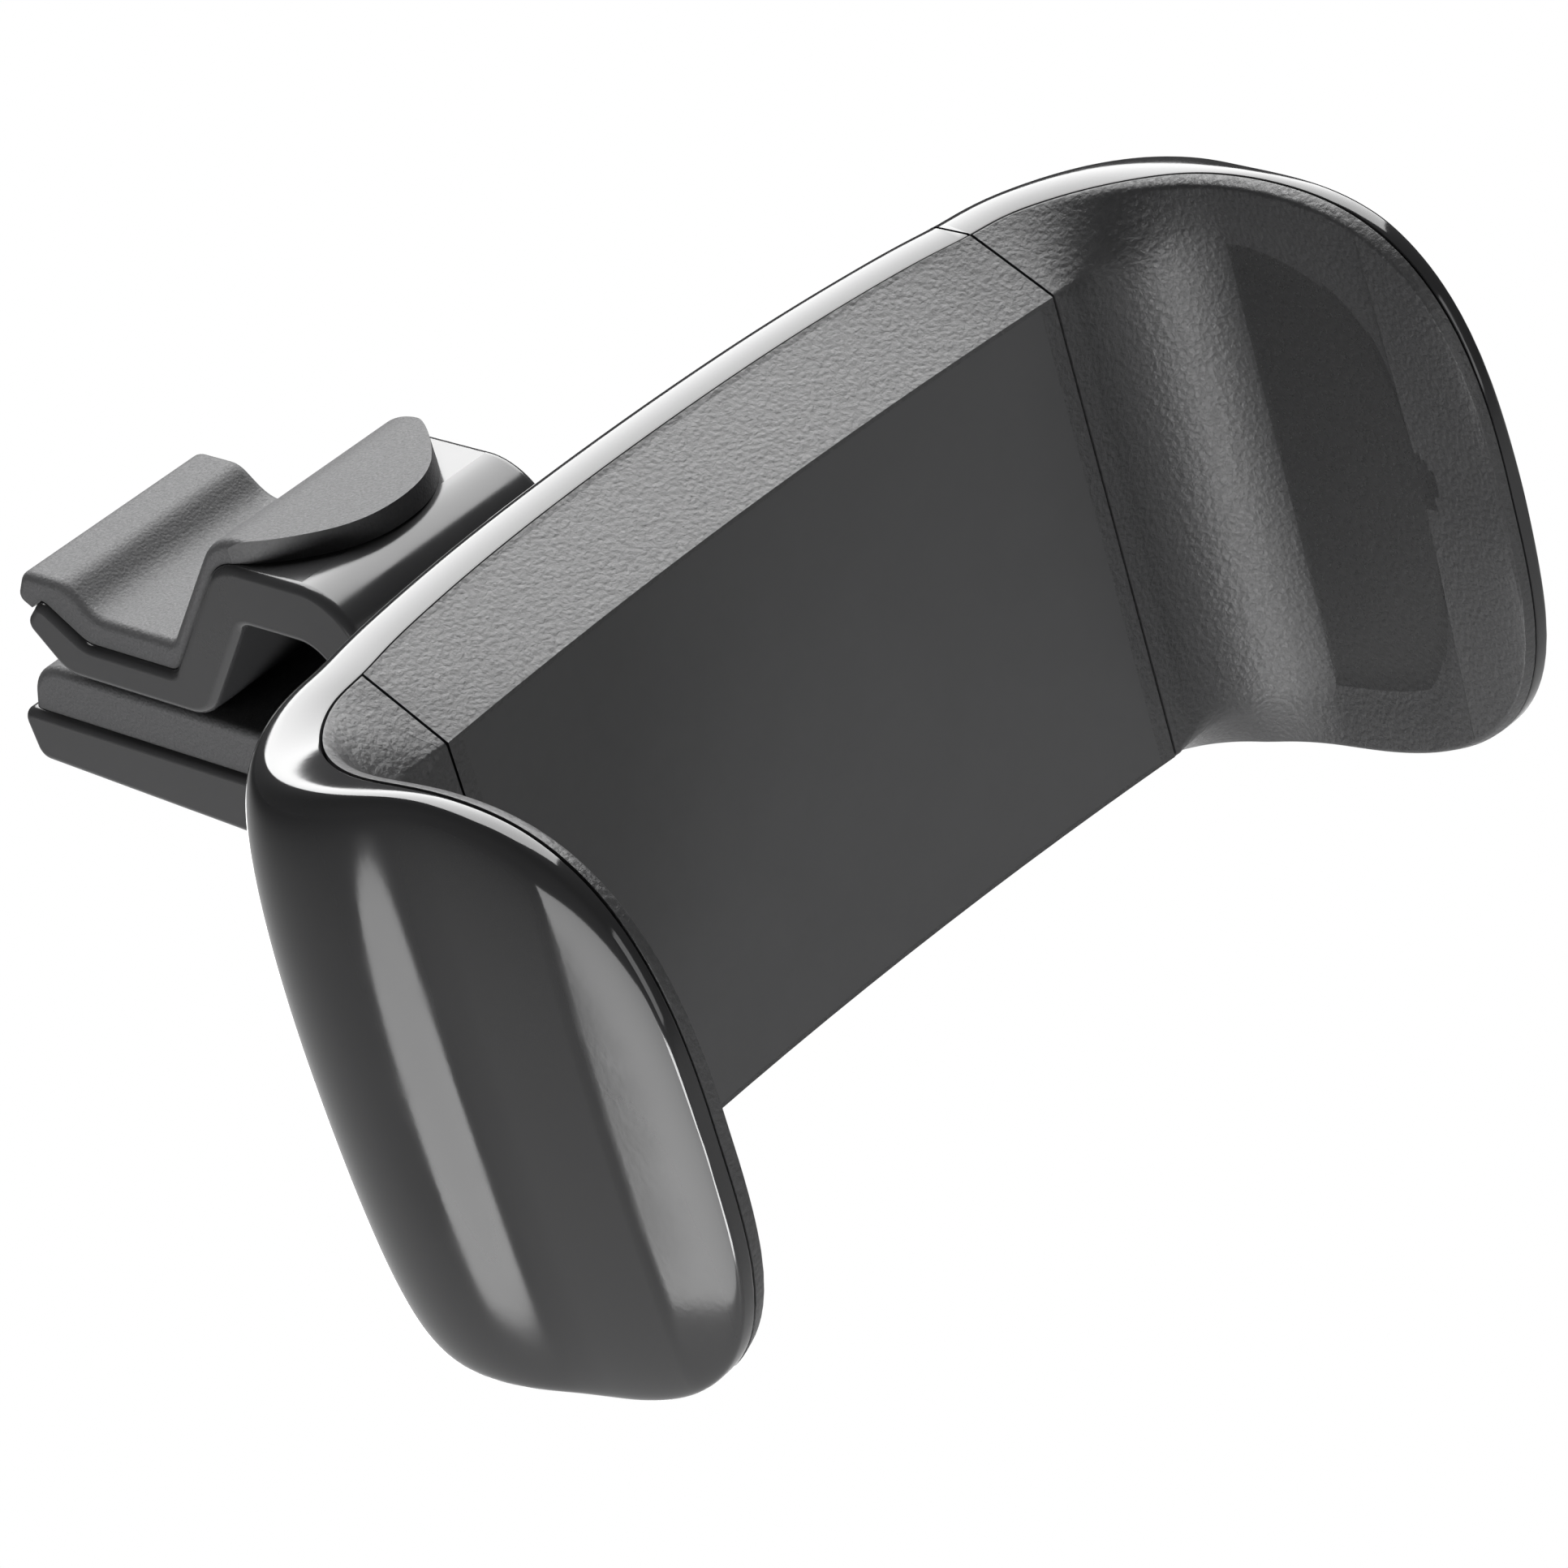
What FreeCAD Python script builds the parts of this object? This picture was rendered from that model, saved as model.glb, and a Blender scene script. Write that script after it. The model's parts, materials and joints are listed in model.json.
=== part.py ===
"""Air vent phone holder: a spring-jaw cradle on a ball joint, carried by a sprung clip for a vent blade.

Millimetres, +Z up. The phone faces -Y and the clip's mouth opens to +Y.
Every piece is drawn in the cradle's own frame: x = 0 is the middle of the face, y = 0 the face at the
split lines and z = 0 mid height. The last step moves all pieces so that the origin is where the clip
grips the vent blade.
"""
import FreeCAD, Part
import math
import os

V = FreeCAD.Vector
X_AXIS = V(1, 0, 0)
Y_AXIS = V(0, 1, 0)
Z_AXIS = V(0, 0, 1)
ORIGIN = V(0, 0, 0)

# Cradle body, seen from above as an arch that is hollow to the front
FACE_HALF_WIDTH = 21.0
FACE_HALF_HEIGHT = 13.4
FACE_SAG = 1.0
BODY_HALF_HEIGHT = 16.0
SEAM_Y_MIDDLE = 7.2
SEAM_SAG = 2.3
SEAM_TIGHTENING = 0.33
RIM_WIDTH = 2.0
BODY_CROWN = 3.6
SHELL_WALL = 1.7
COVER_WALL = 2.0
COVER_HALF_LENGTH = 19.2
PAD_THICKNESS = 0.8
PAD_BORDER = 0.25
SPLIT_GAP = 0.15
SEAM_GAP = 0.12

# Jaws, seen from above: the seam turns from the body to the jaw's upright plate. Each corner point is the
# share of the way out to the plate and the distance in front of the seam's end at the split.
CORNER_SHAPE = [(0.257, 0.4), (0.5, 1.4), (0.716, 3.0), (0.892, 5.4), (0.986, 8.2)]
JAW_X = 28.4
JAW_TOE_IN = 0.4
JAW_REACH = 20.5
JAW_TOP = 17.4
JAW_TOP_START = 8.0
CHANGE_START_Y = 5.0
TOP_RISE_END_Y = -9.0
BOTTOM_RISE_END_Y = -1.0
JAW_BOTTOM = 16.4
JAW_BOTTOM_TAPER = 1.4
JAW_NOSE_Z = 2.0
TOP_ROUNDNESS = 2.8
BOTTOM_ROUNDNESS = 3.2
JAW_RIM_WIDTH = 0.4
JAW_CROWN = 1.5
JAW_TIP_CROWN = 0.35
CROWN_CHANGE_Y = (3.5, -7.0)
CROWN_FALL_STRIP = 7.2
CROWN_SQUARENESS = 2.2
CROWN_TOP_FULLER = 0.2
CROWN_BOTTOM_FULLER = 3.3
BOTTOM_FULLER_Y = (6.5, 2.0)
LIP_WIDTH = 0.8
LIP_SLOPE = 0.4
LIP_START = 0.5
LIP_FULL_Y = -4.0
DISH_STRIP = 5.8
DISH_DEPTH = 0.6
DISH_STRIP_HEIGHT = 4.1
DISH_SOFTNESS = 0.15
DISH_NOSE_HEIGHT = 0.3
DISH_ROUNDNESS = 3.3
DISH_EDGE = 2.2
FACE_EDGE = 0.2
FLOOR_FILLET = 6.0
BODY_SHARES = (0.0, 0.26, 0.52, 0.76, 0.9, 1.0)
PLATE_START = 0.3
PLATE_SHARES = (0.44, 0.56, 0.66, 0.75, 0.83, 0.89, 0.935, 0.965, 0.985)
CORNER_STEPS = 12
CROWN_STEPS = 16
LINER_SEAT = 1.0
LINER_SEAT_INSET = 1.4
LINER_SEAT_OVERLAP = 0.15

# Jaw slide
JAW_TRAVEL = 30.0
TONGUE_THICKNESS = 2.2
TONGUE_HALF_WIDTH = 6.2
TONGUE_END_X = -17.5
TONGUE_CLEARANCE = 0.25
GUIDE_WALL = 1.2
GUIDE_END_GAP = 0.4
STOP_PEG_X = 15.5
STOP_PEG_RADIUS = 1.2
STOP_CLEARANCE = 0.3
JAW_ROOT_DEPTH = 3.6
JAW_ROOT_CLEARANCE = 0.08
JAW_SCREW_TIP_Y = 1.4
JAW_SCREW_CLAMP = 1.3
JAW_BOSS_Z = 4.6
SPRING_RADIUS = 1.7
SPRING_WIRE = 0.5
SPRING_PITCH = 1.25
SPRING_Z = 9.4
SPRING_POST_RADIUS = 0.9
SPRING_POST_INSET = 3.6
SPRING_EAR_LENGTH = 4.0

# Ball joint behind the cradle
BALL_Y = 13.6
BALL_RADIUS = 5.5
BALL_CLEARANCE = 0.06
SEAT_WALL = 0.8
SEAT_OPENING_DEG = 50.0
SOCKET_OPENING_DEG = 58.0
SOCKET_RADIUS = 7.5
SOCKET_FLANGE_RADIUS = 9.6
SOCKET_FLANGE_THICKNESS = 1.1
SOCKET_BOTTOM_WALL = 0.8
SOCKET_SLOTS = 6
SOCKET_SLOT_WIDTH = 0.8
SOCKET_RUNNING_GAP = 0.08
RETAINER_RADIUS = 12.4
RETAINER_THICKNESS = 1.4
RETAINER_SCREW_CIRCLE = 11.0
RETAINER_SCREW_BITE = 1.4
GUIDE_KEEPER_GAP = 1.8
NUT_RADIUS = 8.9
NUT_HEIGHT = 3.6
NUT_RIDGES = 24
NUT_SHELL_GAP = 0.3
NUT_CHAMFER = 0.5
NUT_RIDGE_RADIUS = 0.35
THREAD_CLEARANCE = 0.08
NECK_RADIUS = 2.4
STUD_FLANGE_RADIUS = 4.0
STUD_FLANGE_THICKNESS = 0.8
STUD_SHANK_RADIUS = 2.2
STUD_SHANK_LENGTH = 1.6
STUD_SCREW_HEAD_Y = 23.1
STUD_SCREW_TIP_Y = 15.6

# Vent clip: lower arm, hinge and lever
CLIP_HALF_WIDTH = 7.0
ARM_TIP_Y = 57.6
ARM_TOP_Z = -7.0
ARM_TIP_DEPTH = 3.3
ARM_ROOT_DEPTH = 4.6
ARM_TIP_RADIUS = 0.9
ARM_EDGE_RADIUS = 0.5
BLOCK_FRONT_Y = 21.2
BLOCK_WALL = 2.8
BLOCK_EDGE_RADIUS = 1.0
CHEEK_RIM = 0.6
CHEEK_FOOT_RADIUS = 1.5
BLOCK_HALF_WIDTH = 9.2
BLOCK_TOP_Z = 3.2
CHEEK_TOP_Z = 1.0
CHEEK_GAP = 0.2
PIN_Y = 27.0
PIN_Z = -2.4
PIN_RADIUS = 1.1
PIN_FIT = 0.05
EYE_RADIUS = 2.5
PIN_HEAD_RADIUS = 1.9
PIN_HEAD_HEIGHT = 0.5
PIN_HEAD_GAP = 0.05
LEVER_GRIP_GAP = 0.3
LEVER_THICKNESS = 2.4
VALLEY_Z = -3.7
HUMP_TOP_Z = 7.0
HUMP_THICKNESS = 3.7
LEVER_LEG_OUT = 2.1
WALL_CHAMFER_Z = 1.3
WALL_CHAMFER = 1.0
LEVER_HUMP_END_Y = 35.4
LEVER_VALLEY_START_Y = 42.3
LEVER_VALLEY_END_Y = 49.7
LEVER_TIP_Y = 54.5
LEVER_TIP_TOP_Z = 0.8
LEVER_EDGE_RADIUS = 0.5
LEVER_SLOT_HALF_WIDTH = 2.4
COVER_HALF_WIDTH = 6.6
COVER_THICKNESS = 1.35
COVER_VALLEY_THICKNESS = 1.7
COVER_GAP = 0.02
TONGUE_SHOULDER_Y = 34.2
TONGUE_NOSE_Y = 27.9
TONGUE_EDGE = [(0.96, 33.2), (0.85, 31.8), (0.67, 30.2), (0.45, 28.8), (0.23, 28.1)]
PAD_HALF_WIDTH = 6.6
LOWER_PAD_START_Y = 31.0
LOWER_PAD_TIP_Y = 57.0
PAD_TIP_SLANT = 1.2
PAD_TIP_RADIUS = 3.0
PAD_START_RADIUS = 1.2
COIL_WIRE_RADIUS = 0.35
COIL_RADIUS = 1.85
COIL_TURNS = 5
COIL_LEG_LENGTH = 4.6

# Screws, all of one size, and the grip point that becomes the origin
SCREW_RADIUS = 0.9
SCREW_HEAD_RADIUS = 1.7
SCREW_HEAD_HEIGHT = 0.9
SCREW_CLEARANCE = 0.1
SCREW_TIP_ROOM = 0.4
SCREW_HEAD_SINK = 1.4
COVER_SCREW_X = 16.6
COVER_SCREW_Z = 12.9
COVER_SCREW_TIP_Y = 3.2
COVER_BOSS_RADIUS = 1.55
BOSS_BELOW_SEAM = 0.4
GRIP_Y = 47.0
FAR = 200.0


def blend(value, start, end, low, high):
    """Goes smoothly from low to high while value goes from start to end."""
    t = min(max((value - start) / (end - start), 0.0), 1.0)
    return low + (high - low) * t * t * (3.0 - 2.0 * t)


def box(x0, x1, y0, y1, z0, z1):
    return Part.makeBox(x1 - x0, y1 - y0, z1 - z0, V(x0, y0, z0))


def cylinder(radius, start, direction, length):
    return Part.makeCylinder(radius, length, start, direction)


def extrude_x(outline, half_width):
    """A prism across the object from a closed wire in the YZ plane at x = 0."""
    face = Part.Face(outline)
    face.translate(V(-half_width, 0, 0))
    return face.extrude(V(2 * half_width, 0, 0))


def mirror_x(shape):
    return shape.mirror(ORIGIN, X_AXIS)


# The seam path, on which the shell, the cover and the jaws are drawn as sections

def seam_y(x):
    """The seam between shell and cover across the body: nearly an arc, a little tighter at its ends."""
    u = x / FACE_HALF_WIDTH
    return SEAM_Y_MIDDLE - SEAM_SAG * ((1.0 - SEAM_TIGHTENING) * u ** 2 + SEAM_TIGHTENING * u ** 4)


def face_y(x):
    return FACE_SAG * (1.0 - (x / FACE_HALF_WIDTH) ** 2)


def corner_points():
    """The seam path round the right corner, between the split and the jaw's plate."""
    end_y = seam_y(FACE_HALF_WIDTH)
    width = JAW_X - FACE_HALF_WIDTH
    return [(FACE_HALF_WIDTH + share * width, end_y - ahead) for share, ahead in CORNER_SHAPE]


def seam_points():
    """Half of the seam path from the middle of the body to the tip of the right jaw."""
    body = [(share * FACE_HALF_WIDTH, seam_y(share * FACE_HALF_WIDTH)) for share in BODY_SHARES]
    plate = []
    for share in (PLATE_START,) + PLATE_SHARES:
        slide = (share - PLATE_START) / (1.0 - PLATE_START)
        plate.append((JAW_X - JAW_TOE_IN * slide, -share * JAW_REACH))
    return body + CORNER + plate


CORNER = corner_points()
HALF_PATH = seam_points()
FULL_PATH = [(-x, y) for x, y in reversed(HALF_PATH[1:])] + HALF_PATH
SEAM = Part.BSplineCurve()
SEAM.interpolate([V(x, y, 0) for x, y in FULL_PATH])


def station_points():
    """Where sections are drawn: on the body's points, at even steps round the corners, and along the jaws."""
    body = [point for point in HALF_PATH if point[0] <= FACE_HALF_WIDTH]
    plate = HALF_PATH[len(body) + len(CORNER):]
    start = SEAM.parameter(V(*body[-1], 0))
    length = SEAM.length(start, SEAM.parameter(V(*plate[0], 0)))
    corner = []
    for i in range(1, CORNER_STEPS):
        point = SEAM.value(SEAM.parameterAtDistance(length * i / CORNER_STEPS, start))
        corner.append((point.x, point.y))
    half = body + corner + plate
    return [(-x, y) for x, y in reversed(half[1:])] + half


class Station:
    """One place on the seam path, with the sizes of the section there."""

    def __init__(self, x, y):
        self.point = V(x, y, 0)
        tangent = SEAM.tangent(SEAM.parameter(self.point))[0]
        self.normal = V(-tangent.y, tangent.x, 0)
        side_x = abs(x)
        out = max(-y, 0.0)
        self.top = jaw_top(y) if side_x > FACE_HALF_WIDTH else BODY_HALF_HEIGHT
        self.bottom = jaw_bottom(y) if side_x > FACE_HALF_WIDTH else BODY_HALF_HEIGHT
        corner = blend(y, CHANGE_START_Y, TOP_RISE_END_Y, 0.0, 1.0)
        to_tip = soft_ramp((out - JAW_REACH + DISH_STRIP) / DISH_STRIP, DISH_SOFTNESS)
        self.rim = RIM_WIDTH + (JAW_RIM_WIDTH - RIM_WIDTH) * corner
        crown = blend(y, *CROWN_CHANGE_Y, BODY_CROWN, JAW_CROWN)
        fall = min(max((out - JAW_REACH + CROWN_FALL_STRIP) / CROWN_FALL_STRIP, 0.0), 1.0)
        self.crown = JAW_TIP_CROWN + (crown - JAW_TIP_CROWN) * math.sqrt(1.0 - fall ** 2)
        self.roundness_top = CROWN_SQUARENESS + CROWN_TOP_FULLER * corner
        self.roundness_bottom = CROWN_SQUARENESS + blend(y, *BOTTOM_FULLER_Y, 0.0, CROWN_BOTTOM_FULLER)
        self.lip = LIP_WIDTH * blend(y, CHANGE_START_Y, LIP_FULL_Y, LIP_START, 1.0)
        depth = floor_depth(self.point, self.normal)
        self.floor = depth + (self.lip - depth) * to_tip
        face_strip = BODY_HALF_HEIGHT - FACE_HALF_HEIGHT
        strip = blend(y, CHANGE_START_Y, BOTTOM_RISE_END_Y, face_strip, DISH_STRIP_HEIGHT)
        self.floor_top = floor_half_height(out, self.top - strip, JAW_NOSE_Z)
        self.floor_bottom = floor_half_height(out, self.bottom - strip, -JAW_NOSE_Z)
        self.floor_edge = blend(y, CHANGE_START_Y, 0.0, FACE_EDGE, DISH_EDGE)


def soft_ramp(share, softness):
    """Goes from 0 to 1 in a straight line with a soft start."""
    share = min(max(share, 0.0), 1.0)
    return (math.hypot(share, softness) - softness) / (math.hypot(1.0, softness) - softness)


def superellipse(distance, reach, height, power):
    share = min(max(distance / reach, 0.0), 1.0)
    return height * (1.0 - share ** power) ** (1.0 / power)


def jaw_top(y):
    """Height of the jaw's upper edge: it rises from the body, then rounds over to the nose."""
    rise = blend(y, CHANGE_START_Y, TOP_RISE_END_Y, BODY_HALF_HEIGHT, JAW_TOP)
    distance = -y - JAW_TOP_START
    nose = superellipse(distance, JAW_REACH - JAW_TOP_START, JAW_TOP - JAW_NOSE_Z, TOP_ROUNDNESS)
    return rise - (JAW_TOP - JAW_NOSE_Z) + nose


def jaw_bottom(y):
    """Depth of the jaw's lower edge, which slopes up towards the nose and then rounds over to it."""
    rise = blend(y, CHANGE_START_Y, BOTTOM_RISE_END_Y, BODY_HALF_HEIGHT, JAW_BOTTOM)
    height = JAW_BOTTOM - JAW_BOTTOM_TAPER + JAW_NOSE_Z
    nose = superellipse(-y, JAW_REACH, height, BOTTOM_ROUNDNESS)
    return rise - JAW_BOTTOM_TAPER * max(-y, 0.0) / JAW_REACH - height + nose


def behind_floor(point):
    """Positive behind the line that the face, the fillet into the jaw and the dish floor follow."""
    side_x = abs(point.x)
    floor_x = JAW_X - LIP_WIDTH + DISH_DEPTH
    fillet_x = floor_x - FLOOR_FILLET
    fillet_y = face_y(fillet_x) - FLOOR_FILLET
    if side_x <= fillet_x:
        return point.y - face_y(side_x)
    if point.y < fillet_y:
        return side_x - floor_x
    return math.hypot(side_x - fillet_x, point.y - fillet_y) - FLOOR_FILLET


def floor_depth(point, normal):
    """How far the face or the dish floor lies inside the seam, along the section's normal."""
    near, far = 0.0, 2.0 * SEAM_Y_MIDDLE
    for _ in range(40):
        middle = (near + far) / 2.0
        if behind_floor(point - normal * middle) > 0:
            near = middle
        else:
            far = middle
    return near


def floor_half_height(out, limit, nose):
    """Half height of the dish floor, which ends in a rounded front one strip short of the jaw's edge."""
    reach = JAW_REACH - DISH_STRIP
    least = nose + DISH_NOSE_HEIGHT
    if out >= reach:
        return least
    rounded = superellipse(out, reach, FACE_HALF_HEIGHT - nose, DISH_ROUNDNESS) + nose
    return max(min(limit, FACE_HALF_HEIGHT, rounded), least)


def section_point(station, outward, z):
    return station.point + station.normal * outward + V(0, 0, z)


def crown_curve(station, start, crown, top, bottom):
    """The outer skin of a section, from its upper rim edge over the crown to its lower rim edge."""
    middle = (top - bottom) / 2.0
    half = (top + bottom) / 2.0
    points = []
    for step in range(CROWN_STEPS + 1):
        angle = math.pi * step / CROWN_STEPS
        power = station.roundness_top if 2 * step <= CROWN_STEPS else station.roundness_bottom
        bulge = crown * math.sin(angle) ** (2.0 / power) if 0 < step < CROWN_STEPS else 0.0
        points.append(section_point(station, start + bulge, middle + half * math.cos(angle)))
    curve = Part.BSplineCurve()
    curve.interpolate(points)
    return curve.toShape()


def shell_section(station, inset=0.0, front=0.0):
    """Closed wire of the shell at a station, from the seam plane out to the crown."""
    top = station.top - inset
    bottom = station.bottom - inset
    upper_in = section_point(station, front, top)
    lower_in = section_point(station, front, -bottom)
    upper = Part.makeLine(upper_in, section_point(station, station.rim, top))
    skin = crown_curve(station, station.rim, station.crown - inset, top, bottom)
    lower = Part.makeLine(section_point(station, station.rim, -bottom), lower_in)
    return Part.Wire([upper, skin, lower, Part.makeLine(lower_in, upper_in)])


def rounded_edge(before, corner, after, size):
    """Cuts the corner of three points: gives the cut's first end, the curve and its last end."""
    first = corner + (before - corner).normalize() * min(size, 0.6 * before.distanceToPoint(corner))
    last = corner + (after - corner).normalize() * min(size, 0.45 * after.distanceToPoint(corner))
    curve = Part.BezierCurve()
    curve.setPoles([first, corner, last])
    return first, curve.toShape(), last


def cover_corners(station, inset=0.0, back=0.0):
    """Corners of the cover or liner at a station, from the seam plane in to the face or dish floor."""
    top = station.top - inset
    bottom = station.bottom - inset
    lip_drop = LIP_SLOPE * station.lip
    points = [
        (back, top),
        (-station.lip, top - lip_drop),
        (-station.floor + inset, station.floor_top - inset),
        (-station.floor + inset, -station.floor_bottom + inset),
        (-station.lip, -bottom + lip_drop),
        (back, -bottom),
    ]
    return [section_point(station, n, z) for n, z in points]


def closed_polygon(points):
    return Part.makePolygon(points + points[:1])


def liner_section(station):
    """Closed wire of the cover or liner, with the floor's two corners rounded, widely so in the jaw."""
    back_top, lip_top, floor_top, floor_bottom, lip_bottom, back_bottom = cover_corners(station, back=-SEAM_GAP)
    upper_slope, upper, upper_floor = rounded_edge(lip_top, floor_top, floor_bottom, station.floor_edge)
    lower_slope, lower, lower_floor = rounded_edge(lip_bottom, floor_bottom, floor_top, station.floor_edge)
    return Part.Wire([
        Part.makeLine(back_bottom, back_top),
        Part.makeLine(back_top, lip_top),
        Part.makeLine(lip_top, upper_slope),
        upper,
        Part.makeLine(upper_floor, lower_floor),
        lower,
        Part.makeLine(lower_slope, lip_bottom),
        Part.makeLine(lip_bottom, back_bottom),
    ])


def loft(wires):
    return Part.makeLoft(wires, True, False, False, 5)


def stations(first=-FAR, last=FAR):
    return [Station(x, y) for x, y in station_points() if first <= x <= last]


def rounded_outline(corners, plane):
    """A closed wire through (a, b, radius) corners, each rounded by an arc that is tangent to both sides."""
    count = len(corners)
    points = [plane(a, b) for a, b, _ in corners]
    ends = []
    for i, (_, _, radius) in enumerate(corners):
        back = (points[i - 1] - points[i]).normalize()
        ahead = (points[(i + 1) % count] - points[i]).normalize()
        half = back.getAngle(ahead) / 2.0
        if radius <= 0:
            ends.append((points[i], None, points[i]))
            continue
        cut = radius / math.tan(half)
        middle_way = (back + ahead).normalize()
        top = points[i] + middle_way * (radius / math.sin(half) - radius)
        ends.append((points[i] + back * cut, top, points[i] + ahead * cut))
    edges = []
    for i, (start, top, end) in enumerate(ends):
        if top is not None:
            edges.append(Part.Arc(start, top, end).toShape())
        following = ends[(i + 1) % count][0]
        if end.distanceToPoint(following) > 1e-6:
            edges.append(Part.makeLine(end, following))
    return Part.Wire(Part.__sortEdges__(edges))


def yz(y, z):
    return V(0, y, z)


# Cradle: places that several pieces share

TONGUE_Y = FACE_SAG + COVER_WALL + TONGUE_CLEARANCE
TONGUE_BACK_Y = TONGUE_Y + TONGUE_THICKNESS
SPRING_Y = TONGUE_Y + SPRING_RADIUS + TONGUE_CLEARANCE
SPLIT_X = FACE_HALF_WIDTH
SEAT_OUTER = BALL_RADIUS + BALL_CLEARANCE + SEAT_WALL
SOCKET_INNER = SEAT_OUTER + BALL_CLEARANCE
SOCKET_BOTTOM_Y = BALL_Y - SOCKET_INNER - SOCKET_BOTTOM_WALL
CROWN_Y = SEAM_Y_MIDDLE + RIM_WIDTH + BODY_CROWN
FLANGE_BACK_Y = CROWN_Y - SHELL_WALL - SOCKET_RUNNING_GAP
FLANGE_FRONT_Y = FLANGE_BACK_Y - SOCKET_FLANGE_THICKNESS
RETAINER_BACK_Y = FLANGE_FRONT_Y - SOCKET_RUNNING_GAP
RETAINER_FRONT_Y = RETAINER_BACK_Y - RETAINER_THICKNESS
SPRING_ANCHOR_X = -COVER_HALF_LENGTH + SPRING_POST_INSET
EAR_X = SPLIT_X + SPLIT_GAP - SPRING_EAR_LENGTH
SPRING_EAR_POST_X = EAR_X + SPRING_EAR_LENGTH / 2.0
BOSS_MEET_Y = seam_y(COVER_SCREW_X) - BOSS_BELOW_SEAM
COVER_SCREW_HEAD_Y = BOSS_MEET_Y + SCREW_HEAD_SINK
JAW_SCREW_X = SPLIT_X + JAW_ROOT_DEPTH / 2.0 + SPLIT_GAP
JAW_SCREW_HEAD_Y = TONGUE_BACK_Y + JAW_SCREW_CLAMP
COVER_SCREWS = [(side * COVER_SCREW_X, up * COVER_SCREW_Z) for side in (-1, 1) for up in (-1, 1)]
JAW_SCREWS = [(JAW_SCREW_X, up * JAW_BOSS_Z) for up in (-1, 1)]
RETAINER_SCREWS = [
    (RETAINER_SCREW_CIRCLE * math.cos(math.radians(a)), RETAINER_SCREW_CIRCLE * math.sin(math.radians(a)))
    for a in (90, 210, 330)
]


def screw(x, z, head_y, tip_y):
    """A pan-head screw along Y, its head towards +Y where the tip lies at lower Y, or the other way."""
    way = 1.0 if tip_y > head_y else -1.0
    direction = V(0, way, 0)
    head = cylinder(SCREW_HEAD_RADIUS, V(x, head_y - way * SCREW_HEAD_HEIGHT, z), direction, SCREW_HEAD_HEIGHT)
    shank = cylinder(SCREW_RADIUS, V(x, head_y, z), direction, abs(tip_y - head_y))
    return head.fuse(shank).removeSplitter()


def screw_hole(x, z, head_y, tip_y, head_room=FAR):
    """The clearance hole of such a screw, with a counterbore for its head."""
    way = 1.0 if tip_y > head_y else -1.0
    direction = V(0, way, 0)
    shank = cylinder(SCREW_RADIUS + SCREW_CLEARANCE, V(x, head_y, z), direction, abs(tip_y - head_y))
    bore = cylinder(SCREW_HEAD_RADIUS + SCREW_CLEARANCE, V(x, head_y - way * head_room, z), direction, head_room)
    return shank.fuse(bore)


def body_cavity():
    """The hollow of the rear shell, open to the front and through the right split."""
    inside = stations(-COVER_HALF_LENGTH, CORNER[0][0])
    hollow = loft([shell_section(s, inset=SHELL_WALL, front=-2.0) for s in inside])
    return hollow.common(box(-COVER_HALF_LENGTH, FAR, -FAR, FAR, -FAR, FAR))


def body_inside():
    """The whole space that pieces inside the shell may fill, walls included."""
    return loft([shell_section(s, inset=SHELL_WALL / 2.0, front=-2.0) for s in stations(-SPLIT_X, SPLIT_X)])


def liner_seat(clearance):
    """The raised back of a right jaw liner, which sits in a pocket of the jaw's shell."""
    wires = []
    for station in stations(CORNER[2][0], FAR):
        if -station.point.y > JAW_REACH - LINER_SEAT_INSET:
            continue
        top = station.top - LINER_SEAT_INSET + clearance
        bottom = station.bottom - LINER_SEAT_INSET + clearance
        back = LINER_SEAT + clearance
        front = -LINER_SEAT_OVERLAP
        corners = [(front, top), (back, top), (back, -bottom), (front, -bottom)]
        wires.append(closed_polygon([section_point(station, n, z) for n, z in corners]))
    return loft(wires)


def jaw_root_pocket(clearance):
    """The slot in the jaw's root that holds the end of the slider."""
    half = TONGUE_HALF_WIDTH + clearance
    return box(SPLIT_X, SPLIT_X + JAW_ROOT_DEPTH + SPLIT_GAP + clearance,
               TONGUE_Y - clearance, TONGUE_BACK_Y + clearance, -half, half)


ALL = stations()
SHELL_BLANK = loft([shell_section(s) for s in ALL])
COVER_BLANK = loft([closed_polygon(cover_corners(s, back=-SEAM_GAP)) for s in ALL])
LINER_BLANK = loft([liner_section(s) for s in ALL])
COVER_CORE = loft([closed_polygon(cover_corners(s, COVER_WALL / 2.0)) for s in stations(-SPLIT_X, SPLIT_X)])


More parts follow.
